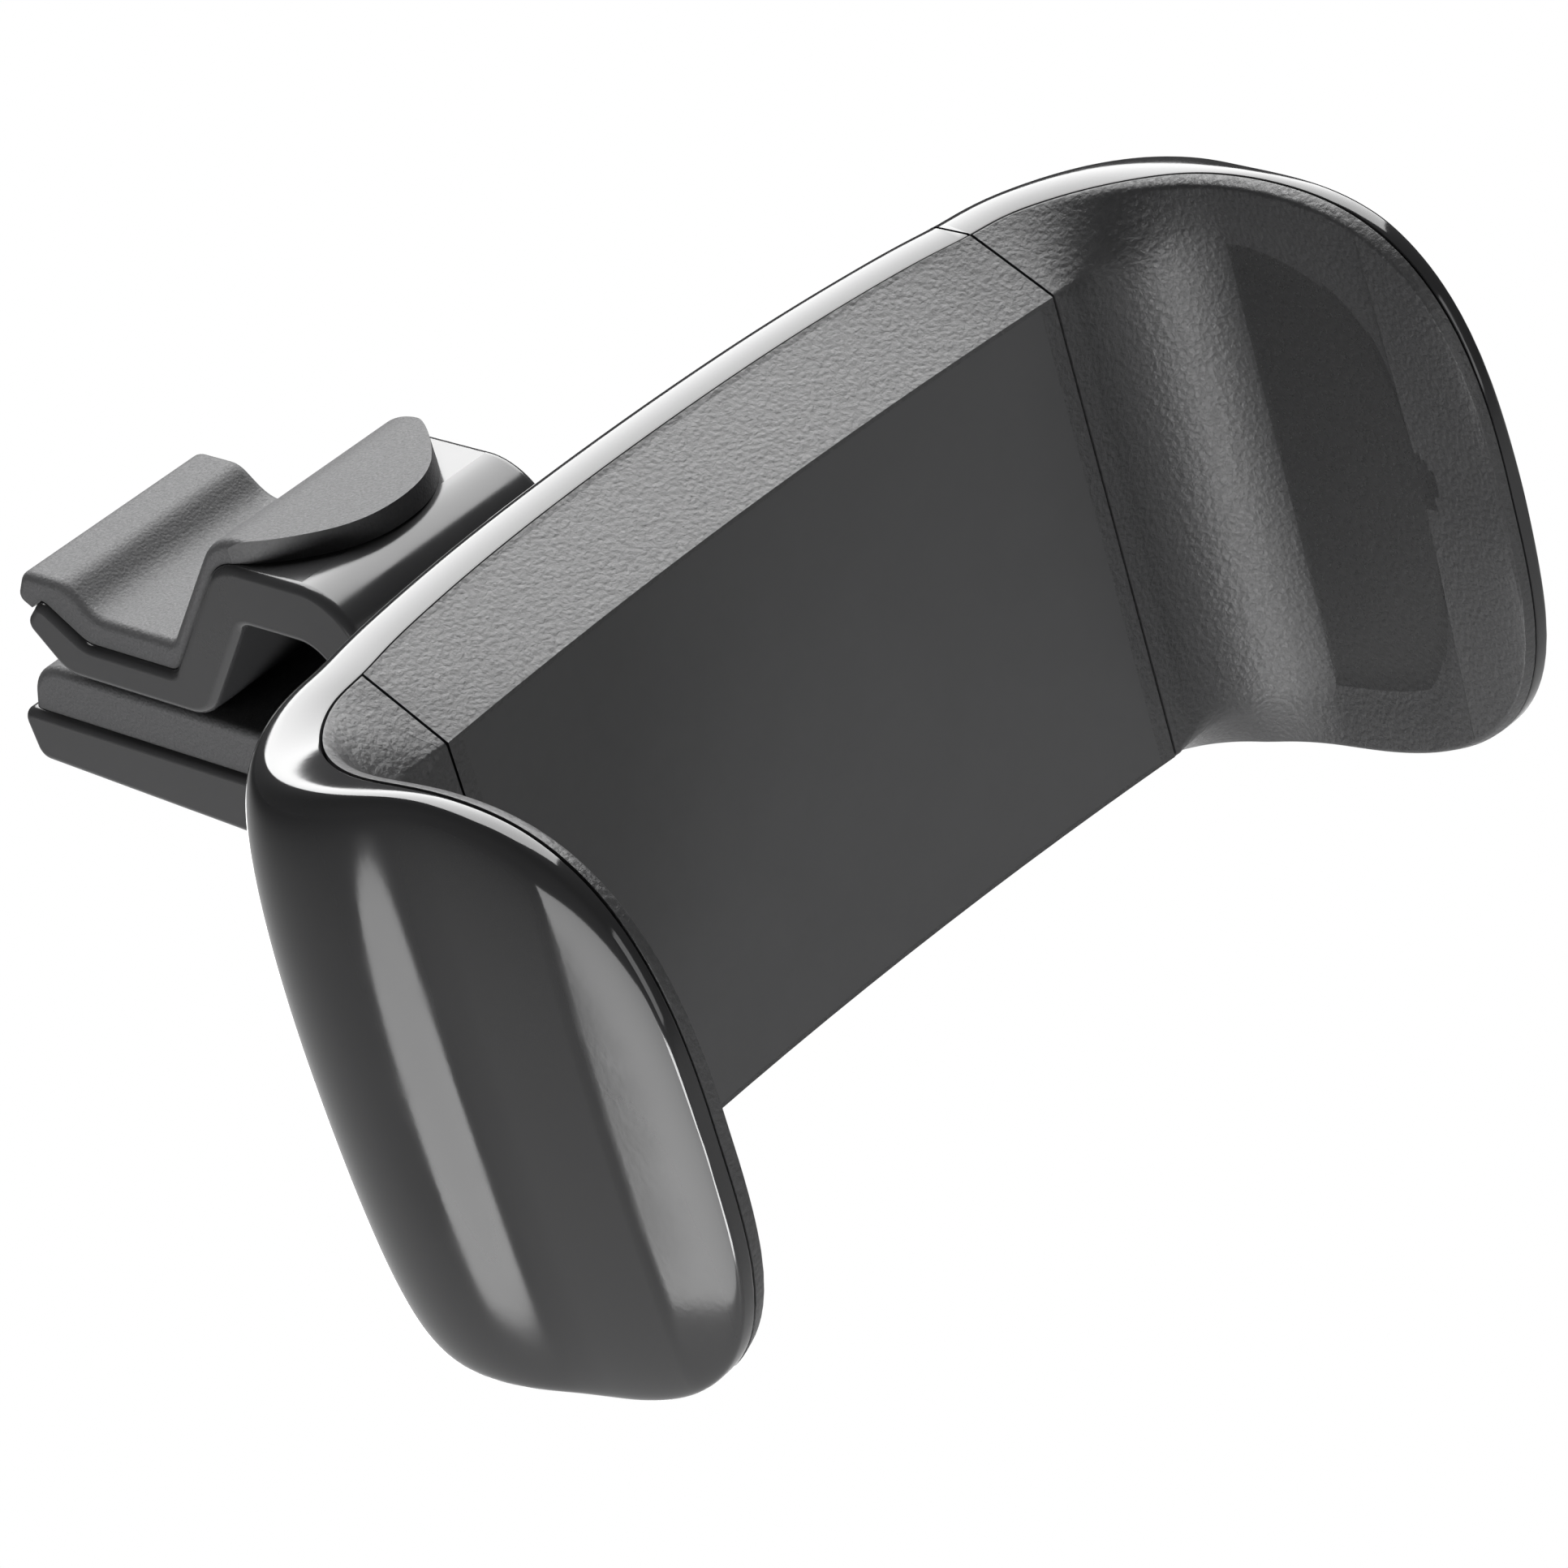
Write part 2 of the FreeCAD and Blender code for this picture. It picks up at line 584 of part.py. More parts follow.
def make_rear_shell():
    """Glossy back of the body with the fixed left jaw's skin, the ball joint's port and all its bosses."""
    moving = box(SPLIT_X - SPLIT_GAP / 2.0, FAR, -FAR, FAR, -FAR, FAR)
    shell = SHELL_BLANK.cut(moving).cut(body_cavity())
    shell = shell.cut(mirror_x(liner_seat(TONGUE_CLEARANCE / 2.0)))
    port = cylinder(RETAINER_RADIUS, V(0, RETAINER_BACK_Y, 0), Y_AXIS, FAR)
    ribs = [port]
    for x, z in COVER_SCREWS:
        ribs.append(cylinder(COVER_BOSS_RADIUS, V(x, BOSS_MEET_Y, z), Y_AXIS, FAR))
    for side in (-1, 1):
        rib_x = side * (RETAINER_RADIUS + GUIDE_KEEPER_GAP)
        keeper_y = TONGUE_BACK_Y + TONGUE_CLEARANCE
        half = TONGUE_HALF_WIDTH - TONGUE_CLEARANCE
        ribs.append(box(rib_x - GUIDE_WALL / 2, rib_x + GUIDE_WALL / 2, keeper_y, FAR, -half, half))
        post_top = SPRING_Y - SPRING_RADIUS
        ribs.append(cylinder(SPRING_POST_RADIUS, V(SPRING_ANCHOR_X, post_top, side * SPRING_Z), Y_AXIS, FAR))
    inside = body_inside()
    shell = shell.fuse([rib.common(inside) for rib in ribs])
    recess = cylinder(SOCKET_FLANGE_RADIUS + THREAD_CLEARANCE, V(0, RETAINER_BACK_Y - 1, 0), Y_AXIS,
                      FLANGE_BACK_Y + SOCKET_RUNNING_GAP - RETAINER_BACK_Y + 1)
    bore = cylinder(SOCKET_RADIUS + SOCKET_RUNNING_GAP, V(0, RETAINER_BACK_Y - 1, 0), Y_AXIS, FAR)
    cuts = [recess, bore]
    for x, z in COVER_SCREWS:
        cuts.append(screw_hole(x, z, COVER_SCREW_HEAD_Y, 0.0))
    for x, z in RETAINER_SCREWS:
        cuts.append(cylinder(SCREW_RADIUS + SCREW_CLEARANCE, V(x, RETAINER_BACK_Y - 1, z), Y_AXIS,
                             RETAINER_THICKNESS + RETAINER_SCREW_BITE))
    return shell.cut(cuts).removeSplitter()


def make_cover_blank():
    """The middle of the cover between both splits, hollow behind its walls, with a lip into the shell."""
    half = SPLIT_X - SPLIT_GAP / 2.0
    middle = COVER_BLANK.common(box(-half, half, -FAR, FAR, -FAR, FAR))
    hollow_wires = []
    lip_wires = []
    for station in stations(-SPLIT_X, SPLIT_X):
        hollow_wires.append(closed_polygon(cover_corners(station, COVER_WALL, 3.0)))
        top = station.top - SHELL_WALL - TONGUE_CLEARANCE / 2.0
        corners = [(-1.0, top), (GUIDE_WALL, top), (GUIDE_WALL, -top), (-1.0, -top)]
        lip_wires.append(closed_polygon([section_point(station, n, z) for n, z in corners]))
    ends = COVER_HALF_LENGTH - SHELL_WALL
    hollow = loft(hollow_wires).common(box(-ends, ends, -FAR, FAR, -FAR, FAR))
    lip_room = COVER_HALF_LENGTH - TONGUE_CLEARANCE
    lip = loft(lip_wires).common(box(-lip_room, lip_room, -FAR, FAR, -FAR, FAR))
    inner_half = BODY_HALF_HEIGHT - SHELL_WALL - TONGUE_CLEARANCE / 2.0 - GUIDE_WALL
    lip_inside = box(-ends, FAR, -FAR, FAR, -inner_half, inner_half)
    doorway = box(0, FAR, TONGUE_Y - TONGUE_CLEARANCE, FAR, -inner_half, inner_half)
    bosses = [
        cylinder(COVER_BOSS_RADIUS + TONGUE_CLEARANCE, V(x, BOSS_MEET_Y, z), Y_AXIS, FAR) for x, z in COVER_SCREWS
    ]
    return middle.fuse(lip.cut(lip_inside)).cut([hollow, doorway] + bosses)


def make_front_cover(cover, pad):
    """Grained front moulding with guide ribs and a stop peg for the slider, and the pad's recess."""
    start_y = FACE_SAG + PAD_THICKNESS
    ribs = []
    inner = TONGUE_HALF_WIDTH + TONGUE_CLEARANCE
    rib_end = EAR_X - GUIDE_END_GAP
    for up in (-1, 1):
        low, high = sorted((up * inner, up * (inner + GUIDE_WALL)))
        ribs.append(box(-COVER_HALF_LENGTH + SHELL_WALL, rib_end, start_y, TONGUE_BACK_Y, low, high))
    ribs.append(cylinder(STOP_PEG_RADIUS, V(STOP_PEG_X, start_y, 0), Y_AXIS, TONGUE_BACK_Y - start_y))
    for x, z in COVER_SCREWS:
        boss = cylinder(COVER_BOSS_RADIUS, V(x, start_y, z), Y_AXIS, BOSS_MEET_Y - start_y)
        ribs.append(boss.common(COVER_CORE))
    holes = [
        cylinder(SCREW_RADIUS + SCREW_CLEARANCE, V(x, COVER_SCREW_TIP_Y - SCREW_TIP_ROOM, z), Y_AXIS, FAR)
        for x, z in COVER_SCREWS
    ]
    return cover.fuse(ribs).cut(holes).cut(pad).removeSplitter()


def make_face_pad():
    """Smooth dark pad that fills the face between the splits and the sloped bands."""
    half = SPLIT_X - SPLIT_GAP / 2.0 - PAD_BORDER
    slab_wires = []
    high = FACE_HALF_HEIGHT - PAD_BORDER
    for station in stations(-SPLIT_X, SPLIT_X):
        corners = [(-station.floor - 1.0, high), (-station.floor + PAD_THICKNESS, high),
                   (-station.floor + PAD_THICKNESS, -high), (-station.floor - 1.0, -high)]
        slab_wires.append(closed_polygon([section_point(station, n, z) for n, z in corners]))
    slab = loft(slab_wires).common(box(-half, half, -FAR, FAR, -FAR, FAR))
    return COVER_BLANK.common(slab)


def make_right_jaw_liner():
    """Grained dish of the moving jaw, from its root at the split to its front edge."""
    liner = LINER_BLANK.common(box(SPLIT_X + SPLIT_GAP / 2.0, FAR, -FAR, FAR, -FAR, FAR))
    return liner.fuse(liner_seat(0.0)).removeSplitter()


def make_right_jaw_shell():
    """Glossy outer skin of the moving jaw, a crowned pillow with a flat rim."""
    shell = SHELL_BLANK.common(box(SPLIT_X + SPLIT_GAP / 2.0, FAR, -FAR, FAR, -FAR, FAR))
    return shell.cut(liner_seat(TONGUE_CLEARANCE / 2.0))


def make_jaw_slider():
    """Tongue that carries the moving jaw: slotted for the stop peg, with an ear for each spring."""
    half = TONGUE_HALF_WIDTH
    end_x = SPLIT_X + JAW_ROOT_DEPTH + SPLIT_GAP
    tongue = box(TONGUE_END_X, end_x, TONGUE_Y, TONGUE_BACK_Y, -half, half)
    ear_z = SPRING_Z + SPRING_RADIUS
    ear_back = SPRING_Y - SPRING_RADIUS / 2.0
    parts = [box(EAR_X, SPLIT_X - SPLIT_GAP, TONGUE_Y, ear_back, -ear_z, ear_z)]
    for up in (-1, 1):
        post = V(SPRING_EAR_POST_X, TONGUE_Y, up * SPRING_Z)
        parts.append(cylinder(SPRING_POST_RADIUS, post, Y_AXIS, SPRING_Y + SPRING_RADIUS - TONGUE_Y))
    slot_half = STOP_PEG_RADIUS + STOP_CLEARANCE
    slot_start = STOP_PEG_X - JAW_TRAVEL
    slot = box(slot_start, STOP_PEG_X, -FAR, FAR, -slot_half, slot_half)
    slot = slot.fuse([
        cylinder(slot_half, V(x, -FAR, 0), Y_AXIS, 2 * FAR) for x in (slot_start, STOP_PEG_X)
    ])
    holes = [cylinder(SCREW_RADIUS + SCREW_CLEARANCE, V(x, -FAR, z), Y_AXIS, 2 * FAR) for x, z in JAW_SCREWS]
    return tongue.fuse(parts).cut(slot).cut(holes).removeSplitter()


def make_tension_spring(up):
    """Close-wound spring from the shell's post to the slider's ear, drawn as a ridged tube with two loops."""
    z = up * SPRING_Z
    loop_radius = SPRING_POST_RADIUS + SPRING_WIRE / 2.0 + 0.1
    end = EAR_X - TONGUE_CLEARANCE
    start = SPRING_ANCHOR_X + SPRING_EAR_POST_X - end
    ridges = int((end - start) / (2.0 * SPRING_PITCH))
    pitch = (end - start) / ridges
    inner = SPRING_RADIUS - SPRING_WIRE
    outline = [V(start, 0, inner)]
    for i in range(ridges):
        outline.append(V(start + i * pitch, 0, SPRING_RADIUS - SPRING_WIRE / 2.0))
        outline.append(V(start + (i + 0.5) * pitch, 0, SPRING_RADIUS))
    outline.append(V(end, 0, SPRING_RADIUS - SPRING_WIRE / 2.0))
    outline.append(V(end, 0, inner))
    outline.append(outline[0])
    tube = Part.Face(Part.makePolygon(outline)).revolve(ORIGIN, X_AXIS, 360)
    caps = [cylinder(inner + SPRING_WIRE / 2.0, V(x, 0, 0), X_AXIS, SPRING_WIRE) for x in (start, end - SPRING_WIRE)]
    loops = [
        Part.makeTorus(loop_radius, SPRING_WIRE / 2.0, V(x, 0, 0), Y_AXIS)
        for x in (SPRING_ANCHOR_X, SPRING_EAR_POST_X)
    ]
    hooks = [
        cylinder(SPRING_WIRE / 2.0, V(x, 0, 0), X_AXIS, SPRING_EAR_POST_X - loop_radius - end + SPRING_WIRE)
        for x in (SPRING_ANCHOR_X + loop_radius - SPRING_WIRE / 2.0, end - SPRING_WIRE / 2.0)
    ]
    spring = tube.fuse(caps + loops + hooks).removeSplitter()
    spring.translate(V(0, SPRING_Y, z))
    return spring


# Ball joint

def spherical_ring(inner, outer, opening_deg):
    """A cup between two spheres about the ball's centre, open towards the clip."""
    ball = Part.makeSphere(outer, V(0, BALL_Y, 0)).cut(Part.makeSphere(inner, V(0, BALL_Y, 0)))
    mouth_radius = outer * math.sin(math.radians(opening_deg))
    mouth_y = inner * math.cos(math.radians(opening_deg))
    mouth = cylinder(mouth_radius + outer, V(0, BALL_Y + mouth_y, 0), Y_AXIS, outer)
    return ball.cut(mouth)


def make_ball_stud():
    """Ball on a neck, with a flange that seats on the clip's front wall and a short shank in it."""
    flange_y = BLOCK_FRONT_Y - STUD_FLANGE_THICKNESS
    stud = Part.makeSphere(BALL_RADIUS, V(0, BALL_Y, 0))
    stud = stud.fuse([
        cylinder(NECK_RADIUS, V(0, BALL_Y, 0), Y_AXIS, BLOCK_FRONT_Y - BALL_Y),
        cylinder(STUD_FLANGE_RADIUS, V(0, flange_y, 0), Y_AXIS, STUD_FLANGE_THICKNESS),
        cylinder(STUD_SHANK_RADIUS, V(0, BLOCK_FRONT_Y, 0), Y_AXIS, STUD_SHANK_LENGTH),
    ])
    tip_y = STUD_SCREW_TIP_Y - SCREW_TIP_ROOM
    bore = cylinder(SCREW_RADIUS + SCREW_CLEARANCE, V(0, tip_y, 0), Y_AXIS, FAR)
    return stud.cut(bore).removeSplitter()


def make_ball_socket():
    """Collet with springy fingers round the seat, and the flange that turns in the rear shell."""
    lip_y = BALL_Y + SOCKET_INNER * math.cos(math.radians(SOCKET_OPENING_DEG))
    cup = cylinder(SOCKET_RADIUS, V(0, SOCKET_BOTTOM_Y, 0), Y_AXIS, lip_y - SOCKET_BOTTOM_Y)
    flange = cylinder(SOCKET_FLANGE_RADIUS, V(0, FLANGE_FRONT_Y, 0), Y_AXIS, SOCKET_FLANGE_THICKNESS)
    socket = cup.fuse(flange).cut(Part.makeSphere(SOCKET_INNER, V(0, BALL_Y, 0)))
    slots = []
    for i in range(SOCKET_SLOTS):
        slot = box(0, FAR, BALL_Y - 0.5, FAR, -SOCKET_SLOT_WIDTH / 2.0, SOCKET_SLOT_WIDTH / 2.0)
        slot.rotate(ORIGIN, Y_AXIS, 360.0 * i / SOCKET_SLOTS)
        slots.append(slot)
    return socket.cut(slots).removeSplitter()


def make_socket_retainer():
    """Ring inside the rear shell that holds the socket's flange, on three screws."""
    ring = cylinder(RETAINER_RADIUS, V(0, RETAINER_FRONT_Y, 0), Y_AXIS, RETAINER_THICKNESS)
    hole = cylinder(SOCKET_RADIUS + SOCKET_RUNNING_GAP, V(0, RETAINER_FRONT_Y - 1, 0), Y_AXIS, FAR)
    holes = [
        cylinder(SCREW_RADIUS + SCREW_CLEARANCE, V(x, RETAINER_FRONT_Y - 1, z), Y_AXIS, FAR)
        for x, z in RETAINER_SCREWS
    ]
    return ring.cut([hole] + holes)


def make_ring_nut():
    """Tapered ring nut round the collet, with grip ridges."""
    start_y = CROWN_Y + NUT_SHELL_GAP
    nut = cylinder(NUT_RADIUS, V(0, start_y, 0), Y_AXIS, NUT_HEIGHT)
    edges = [e for e in nut.Edges if len(e.Vertexes) == 1 and e.BoundBox.YLength < 1e-6]
    nut = nut.makeChamfer(NUT_CHAMFER, edges)
    ridges = []
    for i in range(NUT_RIDGES):
        angle = 2.0 * math.pi * i / NUT_RIDGES
        at = V(NUT_RADIUS * math.cos(angle), start_y + NUT_CHAMFER, NUT_RADIUS * math.sin(angle))
        ridges.append(cylinder(NUT_RIDGE_RADIUS, at, Y_AXIS, NUT_HEIGHT - 2.0 * NUT_CHAMFER))
    hole = cylinder(SOCKET_RADIUS + THREAD_CLEARANCE, V(0, 0, 0), Y_AXIS, FAR)
    return nut.fuse(ridges).cut(hole).removeSplitter()


# Vent clip

PIN_AT = V(0, PIN_Y, PIN_Z)
BLOCK_BACK_Y = BLOCK_FRONT_Y + BLOCK_WALL
ARM_BOTTOM_ROOT_Z = ARM_TOP_Z - ARM_ROOT_DEPTH
ARM_BOTTOM_TIP_Z = ARM_TOP_Z - ARM_TIP_DEPTH
PAD_TOP_Z = VALLEY_Z - LEVER_GRIP_GAP


def soften(shape, radius, keep):
    """Rounds the edges that the test function keeps, all at once."""
    edges = [e for e in shape.Edges if keep(e)]
    return shape.makeFillet(radius, edges)


def on_side(edge, half_width):
    """True for an edge that lies wholly in one of a prism's two end planes."""
    bounds = edge.BoundBox
    return bounds.XLength < 1e-6 and abs(abs(bounds.XMin) - half_width) < 1e-6


def make_clip_base():
    """Lower arm of the clip, the wall that carries the ball stud and the two cheeks of the hinge."""
    arm = extrude_x(rounded_outline([
        (BLOCK_FRONT_Y, ARM_TOP_Z, 0.0),
        (ARM_TIP_Y + 0.3, ARM_TOP_Z, ARM_TIP_RADIUS),
        (ARM_TIP_Y, ARM_BOTTOM_TIP_Z, ARM_TIP_RADIUS),
        (BLOCK_FRONT_Y, ARM_BOTTOM_ROOT_Z, 0.0),
    ], yz), CLIP_HALF_WIDTH)
    arm = soften(arm, ARM_EDGE_RADIUS, lambda e: on_side(e, CLIP_HALF_WIDTH))
    wall = extrude_x(rounded_outline([
        (BLOCK_FRONT_Y, ARM_BOTTOM_ROOT_Z, BLOCK_EDGE_RADIUS),
        (BLOCK_FRONT_Y, BLOCK_TOP_Z, BLOCK_EDGE_RADIUS),
        (BLOCK_BACK_Y - WALL_CHAMFER, BLOCK_TOP_Z, 0.4 * BLOCK_EDGE_RADIUS),
        (BLOCK_BACK_Y, WALL_CHAMFER_Z, 0.8 * BLOCK_EDGE_RADIUS),
        (BLOCK_BACK_Y, ARM_BOTTOM_ROOT_Z + 0.3, 0.0),
    ], yz), BLOCK_HALF_WIDTH)
    cheek_radius = EYE_RADIUS + CHEEK_RIM
    cheek_outline = rounded_outline([
        (BLOCK_BACK_Y - 1.0, ARM_BOTTOM_ROOT_Z + 0.2, 0.0),
        (BLOCK_BACK_Y - 1.0, CHEEK_TOP_Z, 0.0),
        (PIN_Y + cheek_radius, CHEEK_TOP_Z, cheek_radius),
        (PIN_Y + cheek_radius, ARM_BOTTOM_ROOT_Z + 0.2, CHEEK_FOOT_RADIUS),
    ], yz)
    cheeks = extrude_x(cheek_outline, BLOCK_HALF_WIDTH)
    inner = CLIP_HALF_WIDTH + CHEEK_GAP
    cheeks = cheeks.cut(box(-inner, inner, -FAR, FAR, ARM_TOP_Z, FAR))
    base = arm.fuse([wall, cheeks]).removeSplitter()
    pin_hole = cylinder(PIN_RADIUS + PIN_FIT, V(-FAR, PIN_Y, PIN_Z), X_AXIS, 2 * FAR)
    shank_hole = cylinder(STUD_SHANK_RADIUS + PIN_FIT, V(0, BLOCK_FRONT_Y - 1, 0), Y_AXIS, STUD_SHANK_LENGTH + 1)
    return base.cut([pin_hole, shank_hole, screw_hole(0, 0, STUD_SCREW_HEAD_Y, 0.0)]).removeSplitter()


def make_lower_pad():
    """Grained rubber pad on the lower arm."""
    pad = extrude_x(rounded_outline([
        (LOWER_PAD_START_Y, ARM_TOP_Z, 0.0),
        (LOWER_PAD_TIP_Y, ARM_TOP_Z, 0.0),
        (LOWER_PAD_TIP_Y - PAD_TIP_SLANT, PAD_TOP_Z, PAD_TIP_RADIUS),
        (LOWER_PAD_START_Y, PAD_TOP_Z, PAD_START_RADIUS),
    ], yz), PAD_HALF_WIDTH)
    return soften(pad, ARM_EDGE_RADIUS, lambda e: on_side(e, PAD_HALF_WIDTH) and e.BoundBox.ZMax > ARM_TOP_Z + 0.1)


# Corners of the lever's upper side from the hump to its tip, as (y, z, radius)
LEVER_TOP = [
    (LEVER_HUMP_END_Y, HUMP_TOP_Z, 3.6),
    (LEVER_VALLEY_START_Y, VALLEY_Z + LEVER_THICKNESS, 1.2),
    (LEVER_VALLEY_END_Y, VALLEY_Z + LEVER_THICKNESS, 1.8),
    (LEVER_TIP_Y - 1.8, LEVER_TIP_TOP_Z, 0.8),
]


def make_clip_lever():
    """S-shaped upper arm: hinge eye, hump, gripping valley and raised lead-in tip."""
    leg = LEVER_LEG_OUT
    outline = [(PIN_Y - leg, PIN_Z, 0.0), (PIN_Y - leg, HUMP_TOP_Z, 4.0)] + LEVER_TOP + [
        (LEVER_TIP_Y, LEVER_TIP_TOP_Z - 1.7, 0.7),
        (LEVER_VALLEY_END_Y + 2.4, VALLEY_Z, 2.2),
        (LEVER_VALLEY_START_Y - 1.9, VALLEY_Z, 3.0),
        (LEVER_HUMP_END_Y - 0.7, HUMP_TOP_Z - HUMP_THICKNESS, 1.6),
        (PIN_Y + 1.0, HUMP_TOP_Z - HUMP_THICKNESS, 2.2),
        (PIN_Y + 1.0, PIN_Z, 0.0),
    ]
    arm = extrude_x(rounded_outline(outline, yz), CLIP_HALF_WIDTH)
    eye = cylinder(EYE_RADIUS, V(-CLIP_HALF_WIDTH, PIN_Y, PIN_Z), X_AXIS, 2 * CLIP_HALF_WIDTH)
    lever = arm.fuse(eye).removeSplitter()
    lever = soften(lever, LEVER_EDGE_RADIUS, lambda e: on_side(e, CLIP_HALF_WIDTH) and e.BoundBox.ZMax > 0.5)
    half = LEVER_SLOT_HALF_WIDTH
    hole = cylinder(PIN_RADIUS + PIN_FIT, V(-FAR, PIN_Y, PIN_Z), X_AXIS, 2 * FAR)
    eye_slot = box(-half, half, 0, PIN_Y + EYE_RADIUS + 1.0, PIN_Z - EYE_RADIUS - 1.0, PIN_Z + EYE_RADIUS + 0.2)
    leg_slot = box(-half, half, 0, PIN_Y - 0.4, PIN_Z, HUMP_TOP_Z - HUMP_THICKNESS - 1.0)
    return lever.cut([hole, eye_slot, leg_slot]).removeSplitter()


def make_lever_cover():
    """Grained rubber cover on the lever, ending in a rounded tongue on the hump."""
    lower = [(y, z + COVER_GAP, r) for y, z, r in LEVER_TOP]
    upper_valley = VALLEY_Z + LEVER_THICKNESS + COVER_VALLEY_THICKNESS
    hump = HUMP_TOP_Z + COVER_THICKNESS
    outline = [(PIN_Y - 3.0, HUMP_TOP_Z + COVER_GAP, 0.0)] + lower + [
        (LEVER_TIP_Y - 0.35, LEVER_TIP_TOP_Z - 1.05, 0.0),
        (LEVER_TIP_Y + 0.6, LEVER_TIP_TOP_Z - 0.5, 0.6),
        (LEVER_TIP_Y - 0.6, LEVER_TIP_TOP_Z + 1.3, 1.2),
        (LEVER_TIP_Y - 4.0, LEVER_TIP_TOP_Z + 1.3, 1.6),
        (LEVER_VALLEY_END_Y - 1.0, upper_valley, 2.4),
        (LEVER_VALLEY_START_Y - 0.2, upper_valley, 0.9),
        (LEVER_HUMP_END_Y + 0.1, hump, 4.6),
        (PIN_Y - 3.0, hump, 0.0),
    ]
    cover = extrude_x(rounded_outline(outline, yz), COVER_HALF_WIDTH)
    cover = soften(cover, LEVER_EDGE_RADIUS, lambda e: on_side(e, COVER_HALF_WIDTH) and is_upper_cover(e))
    nose = Part.BSplineCurve()
    tongue = [(-COVER_HALF_WIDTH, TONGUE_SHOULDER_Y)]
    tongue += [(-share * COVER_HALF_WIDTH, y) for share, y in TONGUE_EDGE]
    tongue += [(0.0, TONGUE_NOSE_Y)]
    tongue += [(-x, y) for x, y in reversed(tongue[:-1])]
    nose.interpolate([V(x, y, VALLEY_Z) for x, y in tongue])
    far_y = LEVER_TIP_Y + 5.0
    ends = [V(COVER_HALF_WIDTH, TONGUE_SHOULDER_Y, VALLEY_Z), V(COVER_HALF_WIDTH, far_y, VALLEY_Z),
            V(-COVER_HALF_WIDTH, far_y, VALLEY_Z), V(-COVER_HALF_WIDTH, TONGUE_SHOULDER_Y, VALLEY_Z)]
    plan_face = Part.Face(Part.Wire([nose.toShape()] + Part.makePolygon(ends).Edges))
    return cover.common(plan_face.extrude(V(0, 0, FAR))).removeSplitter()


def is_upper_cover(edge):
    """True for the edges along the cover's upper side, away from its seat on the lever."""
    middle = edge.valueAt((edge.FirstParameter + edge.LastParameter) / 2.0)
    return middle.z > lever_top_z(middle.y) + COVER_THICKNESS / 2.0


def lever_top_z(y):
    """Height of the lever's upper side by straight runs between its corners."""
    runs = [(PIN_Y - 5.0, HUMP_TOP_Z)] + [(a, b) for a, b, _ in LEVER_TOP] + [(LEVER_TIP_Y + 5.0, LEVER_TIP_TOP_Z)]
    for (y0, z0), (y1, z1) in zip(runs, runs[1:]):
        if y0 <= y <= y1:
            return z0 + (z1 - z0) * (y - y0) / (y1 - y0)
    return HUMP_TOP_Z


def make_hinge_pin():
    """Steel pin through both cheeks and the lever's eye, with a flat head at each end."""
    length = 2 * (BLOCK_HALF_WIDTH + PIN_HEAD_GAP)
    start = V(-length / 2.0, PIN_Y, PIN_Z)
    pin = cylinder(PIN_RADIUS, start, X_AXIS, length)
    heads = [
        cylinder(PIN_HEAD_RADIUS, start - X_AXIS * PIN_HEAD_HEIGHT, X_AXIS, PIN_HEAD_HEIGHT),
        cylinder(PIN_HEAD_RADIUS, start + X_AXIS * length, X_AXIS, PIN_HEAD_HEIGHT),
    ]
    return pin.fuse(heads).removeSplitter()


def make_lever_spring():
    """Torsion spring round the pin: a ridged coil, one leg on the wall and one in the lever's slot."""
    half = LEVER_SLOT_HALF_WIDTH - 0.3
    pitch = 2.0 * half / COIL_TURNS
    inner = COIL_RADIUS - COIL_WIRE_RADIUS
    outer = COIL_RADIUS + COIL_WIRE_RADIUS
    outline = [V(-half, inner, 0), V(-half, COIL_RADIUS, 0)]
    for i in range(COIL_TURNS):
        outline.append(V(-half + (i + 0.5) * pitch, outer, 0))
        outline.append(V(-half + (i + 1) * pitch, COIL_RADIUS, 0))
    outline.append(V(half, inner, 0))
    outline.append(outline[0])
    coil = Part.Face(Part.makePolygon(outline)).revolve(ORIGIN, X_AXIS, 360)
    coil.translate(PIN_AT)
    leg_x = half - COIL_WIRE_RADIUS
    wall_leg = V(-leg_x, BLOCK_BACK_Y + 0.1, PIN_Z - COIL_RADIUS)
    lever_leg = V(leg_x, PIN_Y - COIL_RADIUS, PIN_Z)
    legs = [
        cylinder(COIL_WIRE_RADIUS, wall_leg, Y_AXIS, PIN_Y - wall_leg.y),
        cylinder(COIL_WIRE_RADIUS, lever_leg, Z_AXIS, COIL_LEG_LENGTH),
    ]
    return coil.fuse(legs).removeSplitter()


def group(shapes):
    return Part.makeCompound(shapes)


